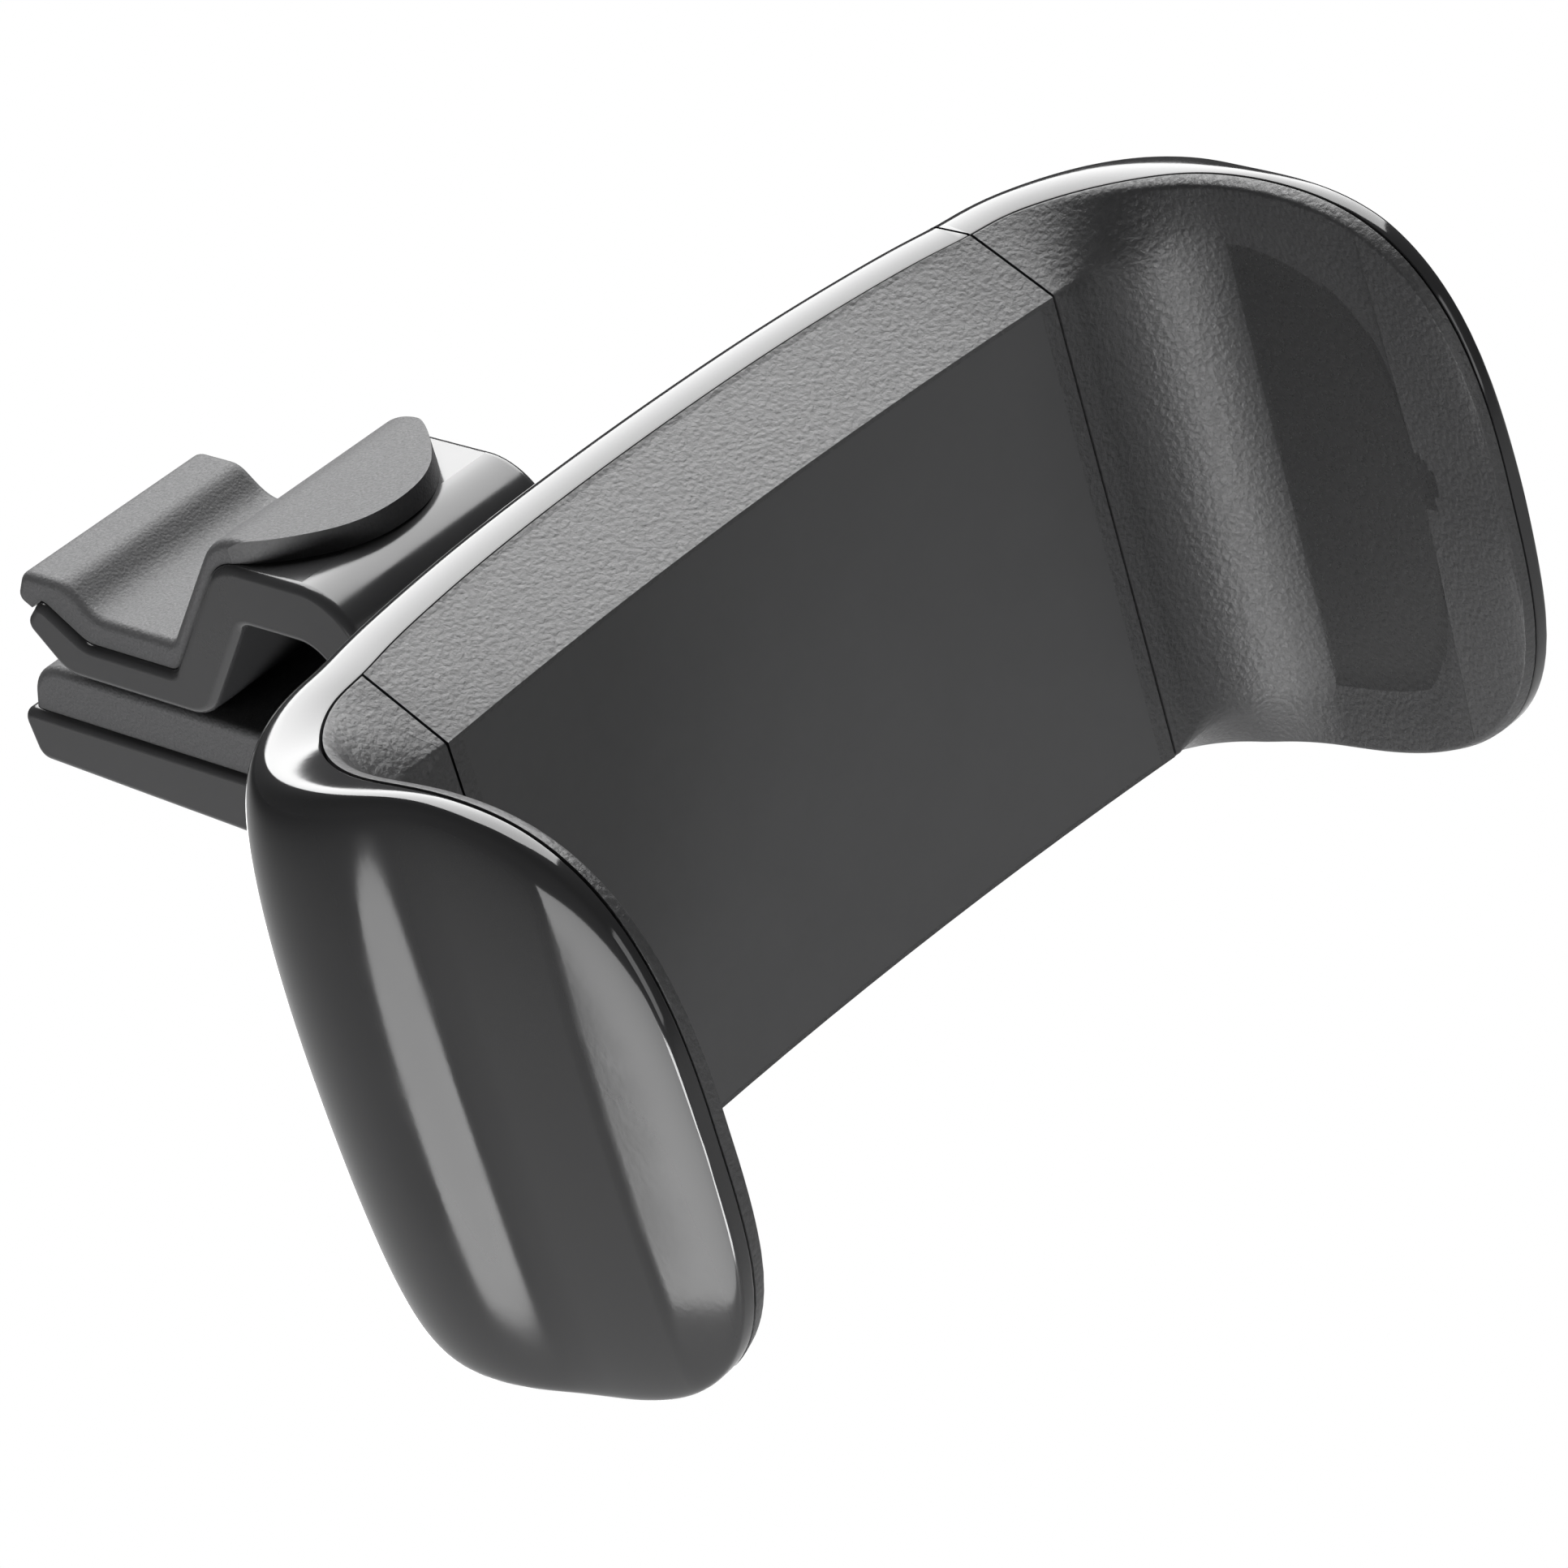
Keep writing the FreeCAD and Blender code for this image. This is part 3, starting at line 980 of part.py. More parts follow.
def make_parts():
    """Every piece of the holder by name, in the cradle's frame."""
    parts = {}
    pad = make_face_pad()
    parts["rear_shell"] = make_rear_shell()
    parts["front_cover"] = make_front_cover(make_cover_blank(), pad)
    parts["face_pad"] = pad
    screws_through = [screw_hole(x, z, JAW_SCREW_HEAD_Y, JAW_SCREW_TIP_Y) for x, z in JAW_SCREWS]
    liner = make_right_jaw_liner()
    parts["left_jaw_liner"] = mirror_x(liner)
    parts["right_jaw_liner"] = liner.cut(jaw_root_pocket(JAW_ROOT_CLEARANCE)).cut(screws_through)
    jaw_shell = make_right_jaw_shell()
    parts["right_jaw_shell"] = jaw_shell.cut(jaw_root_pocket(JAW_ROOT_CLEARANCE)).cut(screws_through)
    parts["jaw_slider"] = make_jaw_slider()
    jaw_tip = JAW_SCREW_TIP_Y + SCREW_TIP_ROOM
    parts["jaw_screws"] = group([screw(x, z, JAW_SCREW_HEAD_Y, jaw_tip) for x, z in JAW_SCREWS])
    parts["cover_screws"] = group([screw(x, z, COVER_SCREW_HEAD_Y, COVER_SCREW_TIP_Y) for x, z in COVER_SCREWS])
    parts["upper_spring"] = make_tension_spring(1)
    parts["lower_spring"] = make_tension_spring(-1)
    parts["ball_stud"] = make_ball_stud()
    parts["ball_seat"] = spherical_ring(BALL_RADIUS + BALL_CLEARANCE, SEAT_OUTER, SEAT_OPENING_DEG)
    parts["ball_socket"] = make_ball_socket()
    parts["socket_retainer"] = make_socket_retainer()
    retainer_tip = RETAINER_BACK_Y + RETAINER_THICKNESS
    parts["retainer_screws"] = group([screw(x, z, RETAINER_FRONT_Y, retainer_tip) for x, z in RETAINER_SCREWS])
    parts["ring_nut"] = make_ring_nut()
    parts["stud_screw"] = screw(0, 0, STUD_SCREW_HEAD_Y, STUD_SCREW_TIP_Y)
    parts["clip_base"] = make_clip_base()
    parts["lower_pad"] = make_lower_pad()
    parts["clip_lever"] = make_clip_lever()
    parts["lever_cover"] = make_lever_cover()
    parts["hinge_pin"] = make_hinge_pin()
    parts["lever_spring"] = make_lever_spring()
    return parts


def main():
    os.makedirs("parts", exist_ok=True)
    grip = V(0, -GRIP_Y, -(VALLEY_Z - LEVER_GRIP_GAP / 2.0))
    for name, shape in make_parts().items():
        shape.translate(grip)
        shape.exportStep("parts/" + name + ".step")
        print(name, shape.isValid(), len(shape.Solids), round(shape.Volume, 1))


main()
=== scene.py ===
import json
import math
import bmesh
import bpy
import numpy as np
from mathutils import Matrix, Vector


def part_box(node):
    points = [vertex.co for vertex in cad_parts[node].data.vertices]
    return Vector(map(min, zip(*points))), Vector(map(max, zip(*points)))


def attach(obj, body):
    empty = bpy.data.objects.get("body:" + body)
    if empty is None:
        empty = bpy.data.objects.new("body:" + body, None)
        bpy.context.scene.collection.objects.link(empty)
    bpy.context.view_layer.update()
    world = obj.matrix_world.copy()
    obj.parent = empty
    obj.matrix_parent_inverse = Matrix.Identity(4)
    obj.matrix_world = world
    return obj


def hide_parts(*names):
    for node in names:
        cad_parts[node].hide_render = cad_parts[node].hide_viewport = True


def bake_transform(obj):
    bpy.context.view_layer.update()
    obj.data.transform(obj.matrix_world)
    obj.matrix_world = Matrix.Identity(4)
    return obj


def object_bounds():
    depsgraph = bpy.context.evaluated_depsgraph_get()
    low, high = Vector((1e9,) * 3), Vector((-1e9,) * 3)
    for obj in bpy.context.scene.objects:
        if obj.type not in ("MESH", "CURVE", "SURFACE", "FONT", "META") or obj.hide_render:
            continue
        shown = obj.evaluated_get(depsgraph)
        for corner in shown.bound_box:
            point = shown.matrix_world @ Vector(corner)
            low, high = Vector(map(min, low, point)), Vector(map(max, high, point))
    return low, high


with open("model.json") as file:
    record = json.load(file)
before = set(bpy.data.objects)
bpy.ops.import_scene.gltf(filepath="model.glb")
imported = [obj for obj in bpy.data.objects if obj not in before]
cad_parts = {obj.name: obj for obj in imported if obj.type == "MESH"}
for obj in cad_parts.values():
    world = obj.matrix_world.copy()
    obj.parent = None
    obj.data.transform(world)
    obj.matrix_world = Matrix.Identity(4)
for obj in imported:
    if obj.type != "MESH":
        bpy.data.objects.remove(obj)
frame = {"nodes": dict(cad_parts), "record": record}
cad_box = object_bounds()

MM = 0.001
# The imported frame's origin, in the cradle's own frame that the forms below are written in
GRIP = np.array([0.0, 47.0, -3.85])


# Camera: the viewing angle fitted to the photograph, in the cradle's frame

AZIMUTH, ELEVATION, ROLL = 37.265, 29.985, -16.733
DISTANCE, LENS, SIDE, RISE = 337.83, 162.05, -2.244, -1.623


def make_camera():
    a, e, r = (math.radians(v) for v in (AZIMUTH, ELEVATION, ROLL))
    back = Vector((-math.sin(a) * math.cos(e), -math.cos(a) * math.cos(e), math.sin(e)))
    right = Vector((math.cos(a), -math.sin(a), 0))
    up = back.cross(right)
    across = right * math.cos(r) + up * math.sin(r)
    above = up * math.cos(r) - right * math.sin(r)
    eye = back * DISTANCE + across * SIDE + above * RISE - Vector(GRIP)
    data = bpy.data.cameras.new("camera")
    data.lens = LENS
    data.sensor_width = 36.0
    data.clip_start, data.clip_end = 0.01, 20.0
    camera = bpy.data.objects.new("camera", data)
    turn = Matrix((across, above, back)).transposed().to_4x4()
    camera.matrix_world = Matrix.Translation(eye * MM) @ turn
    bpy.context.scene.collection.objects.link(camera)
    bpy.context.scene.camera = camera


# Materials

class Surface:
    """A material with its Principled shader and short calls to add nodes."""

    def __init__(self, name, color, roughness, **inputs):
        self.material = bpy.data.materials.new(name)
        self.material.use_nodes = True
        tree = self.material.node_tree
        self.nodes, self.links = tree.nodes, tree.links
        self.shader = next(n for n in self.nodes if n.type == "BSDF_PRINCIPLED")
        self.shader.inputs["Base Color"].default_value = (*color, 1.0)
        self.shader.inputs["Roughness"].default_value = roughness
        for key, value in inputs.items():
            self.shader.inputs[key.replace("_", " ")].default_value = value
        self.place = self.nodes.new("ShaderNodeTexCoord").outputs["Object"]
        self.normal = None

    def noise(self, scale, detail=2.0, rough=0.5, distortion=0.0):
        node = self.nodes.new("ShaderNodeTexNoise")
        node.inputs["Scale"].default_value = scale
        node.inputs["Detail"].default_value = detail
        node.inputs["Roughness"].default_value = rough
        node.inputs["Distortion"].default_value = distortion
        self.links.new(self.place, node.inputs["Vector"])
        return node.outputs["Fac"]

    def cells(self, scale, smooth):
        node = self.nodes.new("ShaderNodeTexVoronoi")
        node.feature = "SMOOTH_F1"
        node.inputs["Scale"].default_value = scale
        node.inputs["Smoothness"].default_value = smooth
        self.links.new(self.place, node.inputs["Vector"])
        return node.outputs["Distance"]

    def ramp(self, value, low, high, start=0.0, end=1.0):
        node = self.nodes.new("ShaderNodeMapRange")
        node.inputs["From Min"].default_value = start
        node.inputs["From Max"].default_value = end
        node.inputs["To Min"].default_value = low
        node.inputs["To Max"].default_value = high
        self.links.new(value, node.inputs["Value"])
        return node.outputs["Result"]

    def math(self, operation, a, b):
        node = self.nodes.new("ShaderNodeMath")
        node.operation = operation
        for socket, value in zip(node.inputs, (a, b)):
            if isinstance(value, float):
                socket.default_value = value
            else:
                self.links.new(value, socket)
        return node.outputs["Value"]

    def bump(self, height, distance, strength=1.0):
        node = self.nodes.new("ShaderNodeBump")
        node.inputs["Strength"].default_value = strength
        node.inputs["Distance"].default_value = distance
        self.links.new(height, node.inputs["Height"])
        if self.normal is not None:
            self.links.new(self.normal, node.inputs["Normal"])
        self.normal = node.outputs["Normal"]
        self.links.new(self.normal, self.shader.inputs["Normal"])

    def tint(self, value, low, high):
        node = self.nodes.new("ShaderNodeMix")
        node.data_type = "RGBA"
        node.inputs[6].default_value = (*low, 1.0)
        node.inputs[7].default_value = (*high, 1.0)
        self.links.new(value, node.inputs[0])
        self.links.new(node.outputs[2], self.shader.inputs["Base Color"])

    def rough(self, value):
        self.links.new(value, self.shader.inputs["Roughness"])


def grey(value):
    return (value, value, value * 1.03)


def make_gloss(name, base, roughness):
    """High-gloss moulded plastic, with the faint waviness and uneven polish of a moulding."""
    s = Surface(name, grey(base), roughness, IOR=1.5)
    s.tint(s.noise(60.0, 3.0), grey(base * 0.9), grey(base * 1.1))
    s.rough(s.ramp(s.noise(240.0, 4.0), roughness * 0.75, roughness * 1.35, 0.3, 0.7))
    s.bump(s.noise(90.0, 1.0), 0.00002, 0.4)
    s.bump(s.noise(2600.0, 2.0), 0.0000025, 0.35)
    return s.material


def make_grain(name, base, roughness, cell, depth):
    """Spark-eroded leather-like grain: rounded pebbles with a finer pitting over them."""
    s = Surface(name, grey(base), roughness, IOR=1.5)
    pebbles = s.cells(cell, 0.6)
    pits = s.noise(cell * 1.3, 6.0, 0.62, 0.4)
    height = s.math("ADD", s.math("MULTIPLY", pebbles, -0.8), s.math("MULTIPLY", pits, 1.2))
    s.tint(s.noise(cell * 0.7, 4.0), grey(base * 0.82), grey(base * 1.18))
    s.rough(s.ramp(pits, roughness * 0.85, roughness * 1.12, 0.35, 0.65))
    s.bump(height, depth, 1.0)
    s.bump(s.noise(cell * 4.5, 3.0), depth * 0.3, 0.5)
    return s.material


def make_satin(name, base, roughness):
    s = Surface(name, grey(base), roughness, IOR=1.5)
    s.tint(s.noise(300.0, 4.0), grey(base * 0.93), grey(base * 1.07))
    s.rough(s.ramp(s.noise(900.0, 4.0), roughness * 0.9, roughness * 1.1, 0.3, 0.7))
    s.bump(s.noise(7000.0, 3.0), 0.000006, 0.5)
    return s.material


def make_steel(name, base, roughness):
    s = Surface(name, grey(base), roughness, Metallic=1.0)
    s.tint(s.noise(500.0, 4.0), grey(base * 0.85), grey(base * 1.1))
    s.rough(s.ramp(s.noise(1500.0, 3.0), roughness * 0.8, roughness * 1.3, 0.3, 0.7))
    s.bump(s.noise(4000.0, 3.0), 0.000004, 0.5)
    return s.material


def make_materials():
    return {
        "gloss_shell": make_gloss("gloss_shell", 0.022, 0.09),
        "grained_cover": make_grain("grained_cover", 0.032, 0.42, 3200.0, 0.000038),
        # Dish floor: smoother, finer grain, and a base colour half that of the grained cover, which is painted
        # shade of the inward-facing floor
        "dish_floor_painted_shade": make_grain("dish_floor_painted_shade", 0.016, 0.3, 3200.0, 0.000016),
        "face_pad": make_satin("face_pad", 0.042, 0.45),
        "clip_plastic": make_gloss("clip_plastic", 0.035, 0.16),
        "clip_rubber": make_grain("clip_rubber", 0.065, 0.6, 5600.0, 0.000024),
        "joint_plastic": make_satin("joint_plastic", 0.03, 0.35),
        "inner_plastic": make_satin("inner_plastic", 0.05, 0.45),
        "nylon": make_satin("nylon", 0.5, 0.4),
        "steel": make_steel("steel", 0.6, 0.3),
        "spring_steel": make_steel("spring_steel", 0.5, 0.25),
    }


def assign_materials(materials):
    slots = {entry["node"]: entry["material_slot"] for entry in frame["record"]["subparts"]}
    for name, node in frame["nodes"].items():
        node.data.materials.clear()
        node.data.materials.append(materials[slots[name]])


# Forms that the shells and liners share: the CAD's own sections along the seam, drawn much finer.
# Millimetres in the cradle's frame. A pair of Y values is where a change along the jaw starts and ends.

SPLIT, SPLIT_GAP, SEAM_GAP, WALL = 21.0, 0.15, 0.12, 1.7
BODY_HEIGHT, FACE_HEIGHT, FACE_SAG = 16.0, 13.4, 1.0
SEAM_MIDDLE_Y, SEAM_SAG, SEAM_SHARES = 7.2, 2.3, (0.67, 0.33)
BODY_SHARES = (0.0, 0.26, 0.52, 0.76, 0.9, 1.0)
TURN = [(0.257, 0.4), (0.5, 1.4), (0.716, 3.0), (0.892, 5.4), (0.986, 8.2)]
JAW_X, JAW_TOE_IN, JAW_REACH, NOSE_Z = 28.4, 0.4, 20.5, 2.0
PLATE_START = 0.3
PLATE_SHARES = (PLATE_START, 0.44, 0.56, 0.66, 0.75, 0.83, 0.89, 0.935, 0.965, 0.985, 1.0)
JAW_TOP, JAW_TOP_START, TOP_POWER = 17.4, 8.0, 2.8
JAW_BOTTOM, BOTTOM_TAPER, BOTTOM_POWER = 16.4, 1.4, 3.2
TOP_CHANGE, BOTTOM_CHANGE = (5.0, -9.0), (5.0, -1.0)
RIM, RIM_LOSS = 2.0, 1.6
CROWN, JAW_CROWN, TIP_CROWN, CROWN_CHANGE = 3.6, 1.5, 0.35, (3.5, -7.0)
CHAMFER, CHAMFER_SOFTNESS, CHAMFER_SHARES, CHAMFER_POWER = 5.4, 0.08, (0.8, 0.2), 8
SKIN_POWER = 2.2
TOP_FULLER, TOP_FULLER_CHANGE = 1.3, (6.5, 0.0)
BOTTOM_FULLER, BOTTOM_FULLER_CHANGE = 3.3, (6.5, 2.0)
LIP, LIP_START, LIP_SLOPE, LIP_CHANGE = 0.8, 0.5, 0.4, (5.0, -4.0)
DISH_STRIP, DISH_STRIP_HEIGHT, DISH_SOFTNESS, DISH_NOSE_HEIGHT = 5.8, 4.1, 0.15, 0.3
FLOOR_INSET, FLOOR_FILLET, FLOOR_POWER, LEAST_FLOOR = 0.2, 6.0, 3.3, 0.3
FLOOR_EDGE, JAW_FLOOR_EDGE, FLOOR_EDGE_CHANGE = 0.2, 1.3, (5.0, 0.0)
# Faces of the dish floor that get the smoother grain and the painted shade: turned inward at least this much,
# this far in from the plate, ahead of this y
SMOOTH_SHADE_FACING, SMOOTH_SHADE_REACH, SMOOTH_SHADE_START_Y = 0.7, 0.06, -5.0
RIM_EDGE, BACK_EDGE, LIP_EDGE = 0.12, 0.08, 0.22
STATION_STEP, WHOLE_JAW = 0.35, 99.0
TIP_PLACES = (0.01, 0.03, 0.07, 0.13, 0.2, 0.28, 0.45)
FLOOR_END_PLACES = tuple(np.arange(5.7, 6.9, 0.08))
HOLLOW_FROM, HOLLOW_TO, HOLLOW_FRONT, HOLLOW_STEPS = -19.2, 23.0, -2.0, 32
PORT_RADIUS, PORT_START_Y, BORE_RADIUS, COVER_BORE_Y, JAW_BORE_Y = 7.6, 2.0, 1.8, 6.94, 6.75
THROUGH = 40.0
COVER_SCREWS = [(side * 16.6, up * 12.9) for side in (-1, 1) for up in (-1, 1)]
JAW_SCREWS = [(23.0, up * 4.6) for up in (-1, 1)]
SPRING_WIRE, SPRING_EYE, SPRING_PITCH, SPRING_HOOK = 0.25, 1.25, 0.62, 1.0
COIL_STEPS, EYE_STEPS, EYE_GAP = 14, 22, 0.25
SHELL_SHARP, LINER_SHARP = 28.0, 40.0


def ease(value, span, low, high):
    """Low before the span, high after it, with a smooth change between."""
    start, end = span
    t = min(max((value - start) / (end - start), 0.0), 1.0)
    return low + (high - low) * t * t * (3.0 - 2.0 * t)


def soft_ramp(value, soft):
    """Zero below 0, then straight up to 1 at 1, with its start rounded over the given width."""
    if value <= -soft:
        return 0.0
    rise = (value + soft) ** 2 / (4.0 * soft) if value < soft else value
    return min(rise, 1.0)


def superellipse(distance, reach, height, power):
    share = min(max(distance / reach, 0.0), 1.0)
    return height * (1.0 - share ** power) ** (1.0 / power)


def seam_y(x):
    u = x / SPLIT
    return SEAM_MIDDLE_Y - SEAM_SAG * (SEAM_SHARES[0] * u ** 2 + SEAM_SHARES[1] * u ** 4)


def face_y(x):
    return FACE_SAG - (x / SPLIT) ** 2


class Spline:
    """Natural cubic spline through points in the XY plane."""

    def __init__(self, points):
        self.p = np.array(points, float)
        self.t = np.concatenate([[0], np.cumsum(np.linalg.norm(np.diff(self.p, axis=0), axis=1))])
        h = np.diff(self.t)
        count = len(self.t)
        matrix, right = np.eye(count), np.zeros((count, 2))
        for i in range(1, count - 1):
            matrix[i, i - 1:i + 2] = h[i - 1], 2 * (h[i - 1] + h[i]), h[i]
            right[i] = 6 * ((self.p[i + 1] - self.p[i]) / h[i] - (self.p[i] - self.p[i - 1]) / h[i - 1])
        self.m = np.linalg.solve(matrix, right)

    def at(self, t):
        i = int(np.clip(np.searchsorted(self.t, t) - 1, 0, len(self.t) - 2))
        h = self.t[i + 1] - self.t[i]
        a, b = (self.t[i + 1] - t) / h, (t - self.t[i]) / h
        p, m = self.p, self.m
        point = a * p[i] + b * p[i + 1] + ((a ** 3 - a) * m[i] + (b ** 3 - b) * m[i + 1]) * h * h / 6
        way = (p[i + 1] - p[i]) / h + ((3 * b * b - 1) * m[i + 1] - (3 * a * a - 1) * m[i]) * h / 6
        return point, way / np.linalg.norm(way)


def plate_x(share):
    """The jaw's upright plate leans in a little from its start to its tip."""
    return JAW_X - JAW_TOE_IN * (share - PLATE_START) / (1.0 - PLATE_START)


def seam_path():
    """The seam from the left jaw's tip across the body to the right jaw's tip."""
    body = [(s * SPLIT, seam_y(s * SPLIT)) for s in BODY_SHARES]
    corner = [(SPLIT + s * (JAW_X - SPLIT), seam_y(SPLIT) - ahead) for s, ahead in TURN]
    plate = [(plate_x(s), -s * JAW_REACH) for s in PLATE_SHARES]
    half = body + corner + plate
    return Spline([(-x, y) for x, y in reversed(half[1:])] + half)


def jaw_top(y):
    nose = superellipse(-y - JAW_TOP_START, JAW_REACH - JAW_TOP_START, JAW_TOP - NOSE_Z, TOP_POWER)
    return ease(y, TOP_CHANGE, BODY_HEIGHT, JAW_TOP) - (JAW_TOP - NOSE_Z) + nose


def jaw_bottom(y):
    height = JAW_BOTTOM - BOTTOM_TAPER + NOSE_Z
    nose = superellipse(-y, JAW_REACH, height, BOTTOM_POWER)
    rise = ease(y, BOTTOM_CHANGE, BODY_HEIGHT, JAW_BOTTOM)
    return rise - BOTTOM_TAPER * max(-y, 0.0) / JAW_REACH - height + nose


def behind_floor(x, y):
    """Positive behind the line that the face, the fillet into the jaw and the dish floor follow."""
    floor_x = JAW_X - FLOOR_INSET
    fillet_x = floor_x - FLOOR_FILLET
    fillet_y = face_y(fillet_x) - FLOOR_FILLET
    if abs(x) <= fillet_x:
        return y - face_y(x)
    if y < fillet_y:
        return abs(x) - floor_x
    return math.hypot(abs(x) - fillet_x, y - fillet_y) - FLOOR_FILLET


def floor_half_height(out, limit, nose):
    """How far the dish floor reaches up or down at a distance out, closing to a point where the strip begins."""
    least = nose + DISH_NOSE_HEIGHT
    if out >= JAW_REACH - DISH_STRIP:
        return least
    rounded = superellipse(out, JAW_REACH - DISH_STRIP, FACE_HEIGHT - nose, FLOOR_POWER) + nose
    return max(min(limit, FACE_HEIGHT, rounded), least)


class Station:
    """One place on the seam, with its outward normal and the sizes of the section there."""

    def __init__(self, point, way):
        x, y = point
        out = max(-y, 0.0)
        self.point = np.array([x, y, 0.0])
        self.normal = np.array([-way[1], way[0], 0.0])
        jaw = abs(x) > SPLIT
        self.top = jaw_top(y) if jaw else BODY_HEIGHT
        self.bottom = jaw_bottom(y) if jaw else BODY_HEIGHT
        self.rim = RIM - RIM_LOSS * ease(y, TOP_CHANGE, 0.0, 1.0)
        fall = (out - JAW_REACH + CHAMFER) / CHAMFER
        rounding = 1.0 - math.sqrt(1.0 - min(max(fall, 0.0), 1.0) ** CHAMFER_POWER)
        drop = CHAMFER_SHARES[0] * soft_ramp(fall, CHAMFER_SOFTNESS) + CHAMFER_SHARES[1] * rounding
        self.crown = TIP_CROWN + (ease(y, CROWN_CHANGE, CROWN, JAW_CROWN) - TIP_CROWN) * (1.0 - drop)
        self.power_top = SKIN_POWER + ease(y, TOP_FULLER_CHANGE, 0.0, TOP_FULLER)
        self.power_bottom = SKIN_POWER + ease(y, BOTTOM_FULLER_CHANGE, 0.0, BOTTOM_FULLER)
        self.lip = LIP * ease(y, LIP_CHANGE, LIP_START, 1.0)
        near = max(self.floor_depth(), LEAST_FLOOR)
        share = min(max((out - JAW_REACH + DISH_STRIP) / DISH_STRIP, 0.0), 1.0)
        soft = DISH_SOFTNESS
        to_tip = (math.hypot(share, soft) - soft) / (math.hypot(1.0, soft) - soft)
        self.floor = near + (self.lip - near) * to_tip
        strip = ease(y, BOTTOM_CHANGE, BODY_HEIGHT - FACE_HEIGHT, DISH_STRIP_HEIGHT)
        self.floor_top = floor_half_height(out, self.top - strip, NOSE_Z)
        self.floor_bottom = floor_half_height(out, self.bottom - strip, -NOSE_Z)
        self.floor_edge = ease(y, FLOOR_EDGE_CHANGE, FLOOR_EDGE, JAW_FLOOR_EDGE)

    def floor_depth(self):
        """How far inward from the seam the face or the dish floor lies, found by halving."""
        near, far = 0.0, 15.0
        for _ in range(30):
            middle = (near + far) / 2.0
            at = self.point - self.normal * middle
            near, far = (middle, far) if behind_floor(at[0], at[1]) > 0 else (near, middle)
        return near

    def at(self, n, z):
        return self.point + self.normal * n + np.array([0.0, 0.0, z])


def stations(first, last):
    """Stations between two places, given as x on the body or +-(SPLIT + length past the split) on the jaws."""
    path = seam_path()
    ends = path.t[-1]
    fine = np.linspace(0.0, ends, 4001)
    points = np.array([path.at(t)[0] for t in fine])
    middle = ends / 2.0
    half = slice(2000, 3100)  # from the middle to past the right split, where x only grows

    def place(value):
        past = max(abs(value) - SPLIT, 0.0)
        along = np.interp(min(abs(value), SPLIT), points[half, 0], fine[half] - middle)
        return middle + math.copysign(min(along + past, middle - 0.01), value)

    start, stop = place(first), place(last)
    values = set(np.linspace(start, stop, max(int((stop - start) / STATION_STEP), 2)))
    for edge in TIP_PLACES + FLOOR_END_PLACES:
        values.update(v for v in (edge, ends - edge) if start <= v <= stop)
    for x in (-SPLIT, SPLIT):
        t = place(x)
        if start < t < stop:
            values.add(t)
    return [Station(*path.at(t)) for t in sorted(values)]


def bend(first, corner, last, size, steps):
    """A rounded corner as points of a quadratic curve, reaching the given length along its two sides."""
    first, corner, last = (np.array(p, float) for p in (first, corner, last))
    before, after = first - corner, last - corner
    long_in, long_out = np.linalg.norm(before), np.linalg.norm(after)
    a = corner + before / long_in * min(size, 0.6 * long_in)
    c = corner + after / long_out * min(size, 0.45 * long_out)
    return [tuple((1 - t) ** 2 * a + 2 * t * (1 - t) * corner + t * t * c) for t in np.linspace(0, 1, steps)]


def shell_loop(s, inset=0.0, front=0.0, steps=72):
    """The shell's section as (outward, z) points: flat rim, crowned skin, flat rim, with softened rim edges."""
    top, bottom = s.top - inset, s.bottom - inset
    middle, half = (top - bottom) / 2.0, (top + bottom) / 2.0
    soft = RIM_EDGE if inset == 0.0 else 0.0
    points = [(front, top - soft), (front + 0.3 * soft, top - 0.3 * soft), (front + soft, top)]
    for i in range(steps + 1):
        angle = math.pi * i / steps
        power = s.power_top if 2 * i <= steps else s.power_bottom
        bulge = (s.crown - inset) * max(math.sin(angle), 0.0) ** (2.0 / power)
        points.append((s.rim + bulge, middle + half * math.cos(angle)))
    return points + [(front + soft, -bottom), (front + 0.3 * soft, -bottom + 0.3 * soft), (front, -bottom + soft)]


def liner_loop(s):
    """The liner's section: back, lip, slope and dish floor with rounded corners."""
    drop = LIP_SLOPE * s.lip
    back_top, lip_top, floor_top = (-SEAM_GAP, s.top), (-s.lip, s.top - drop), (-s.floor, s.floor_top)
    back_low, lip_low, floor_low = (-SEAM_GAP, -s.bottom), (-s.lip, -s.bottom + drop), (-s.floor, -s.floor_bottom)
    points = bend(back_low, back_top, lip_top, BACK_EDGE, 3)
    points += bend(back_top, lip_top, floor_top, LIP_EDGE, 5)
    points += bend(lip_top, floor_top, floor_low, s.floor_edge, 9)
    a, b = points[-1], bend(floor_top, floor_low, lip_low, s.floor_edge, 9)
    points += [(a[0] + (b[0][0] - a[0]) * t, a[1] + (b[0][1] - a[1]) * t) for t in np.linspace(0, 1, 12)[1:-1]]
    points += b
    points += bend(floor_low, lip_low, back_low, LIP_EDGE, 5)
    return points + bend(lip_low, back_low, back_top, BACK_EDGE, 3)


# Meshes

def new_mesh(name, points, faces):
    """A mesh object from points in the cradle's frame, in millimetres."""
    mesh = bpy.data.meshes.new(name)
    mesh.from_pydata([tuple(p) for p in (np.array(points) - GRIP) * MM], [], faces)
    work = bmesh.new()
    work.from_mesh(mesh)
    bmesh.ops.remove_doubles(work, verts=work.verts, dist=0.000002)
    bmesh.ops.recalc_face_normals(work, faces=work.faces)
    work.to_mesh(mesh)
    work.free()
    piece = bpy.data.objects.new(name, mesh)
    bpy.context.scene.collection.objects.link(piece)
    return piece


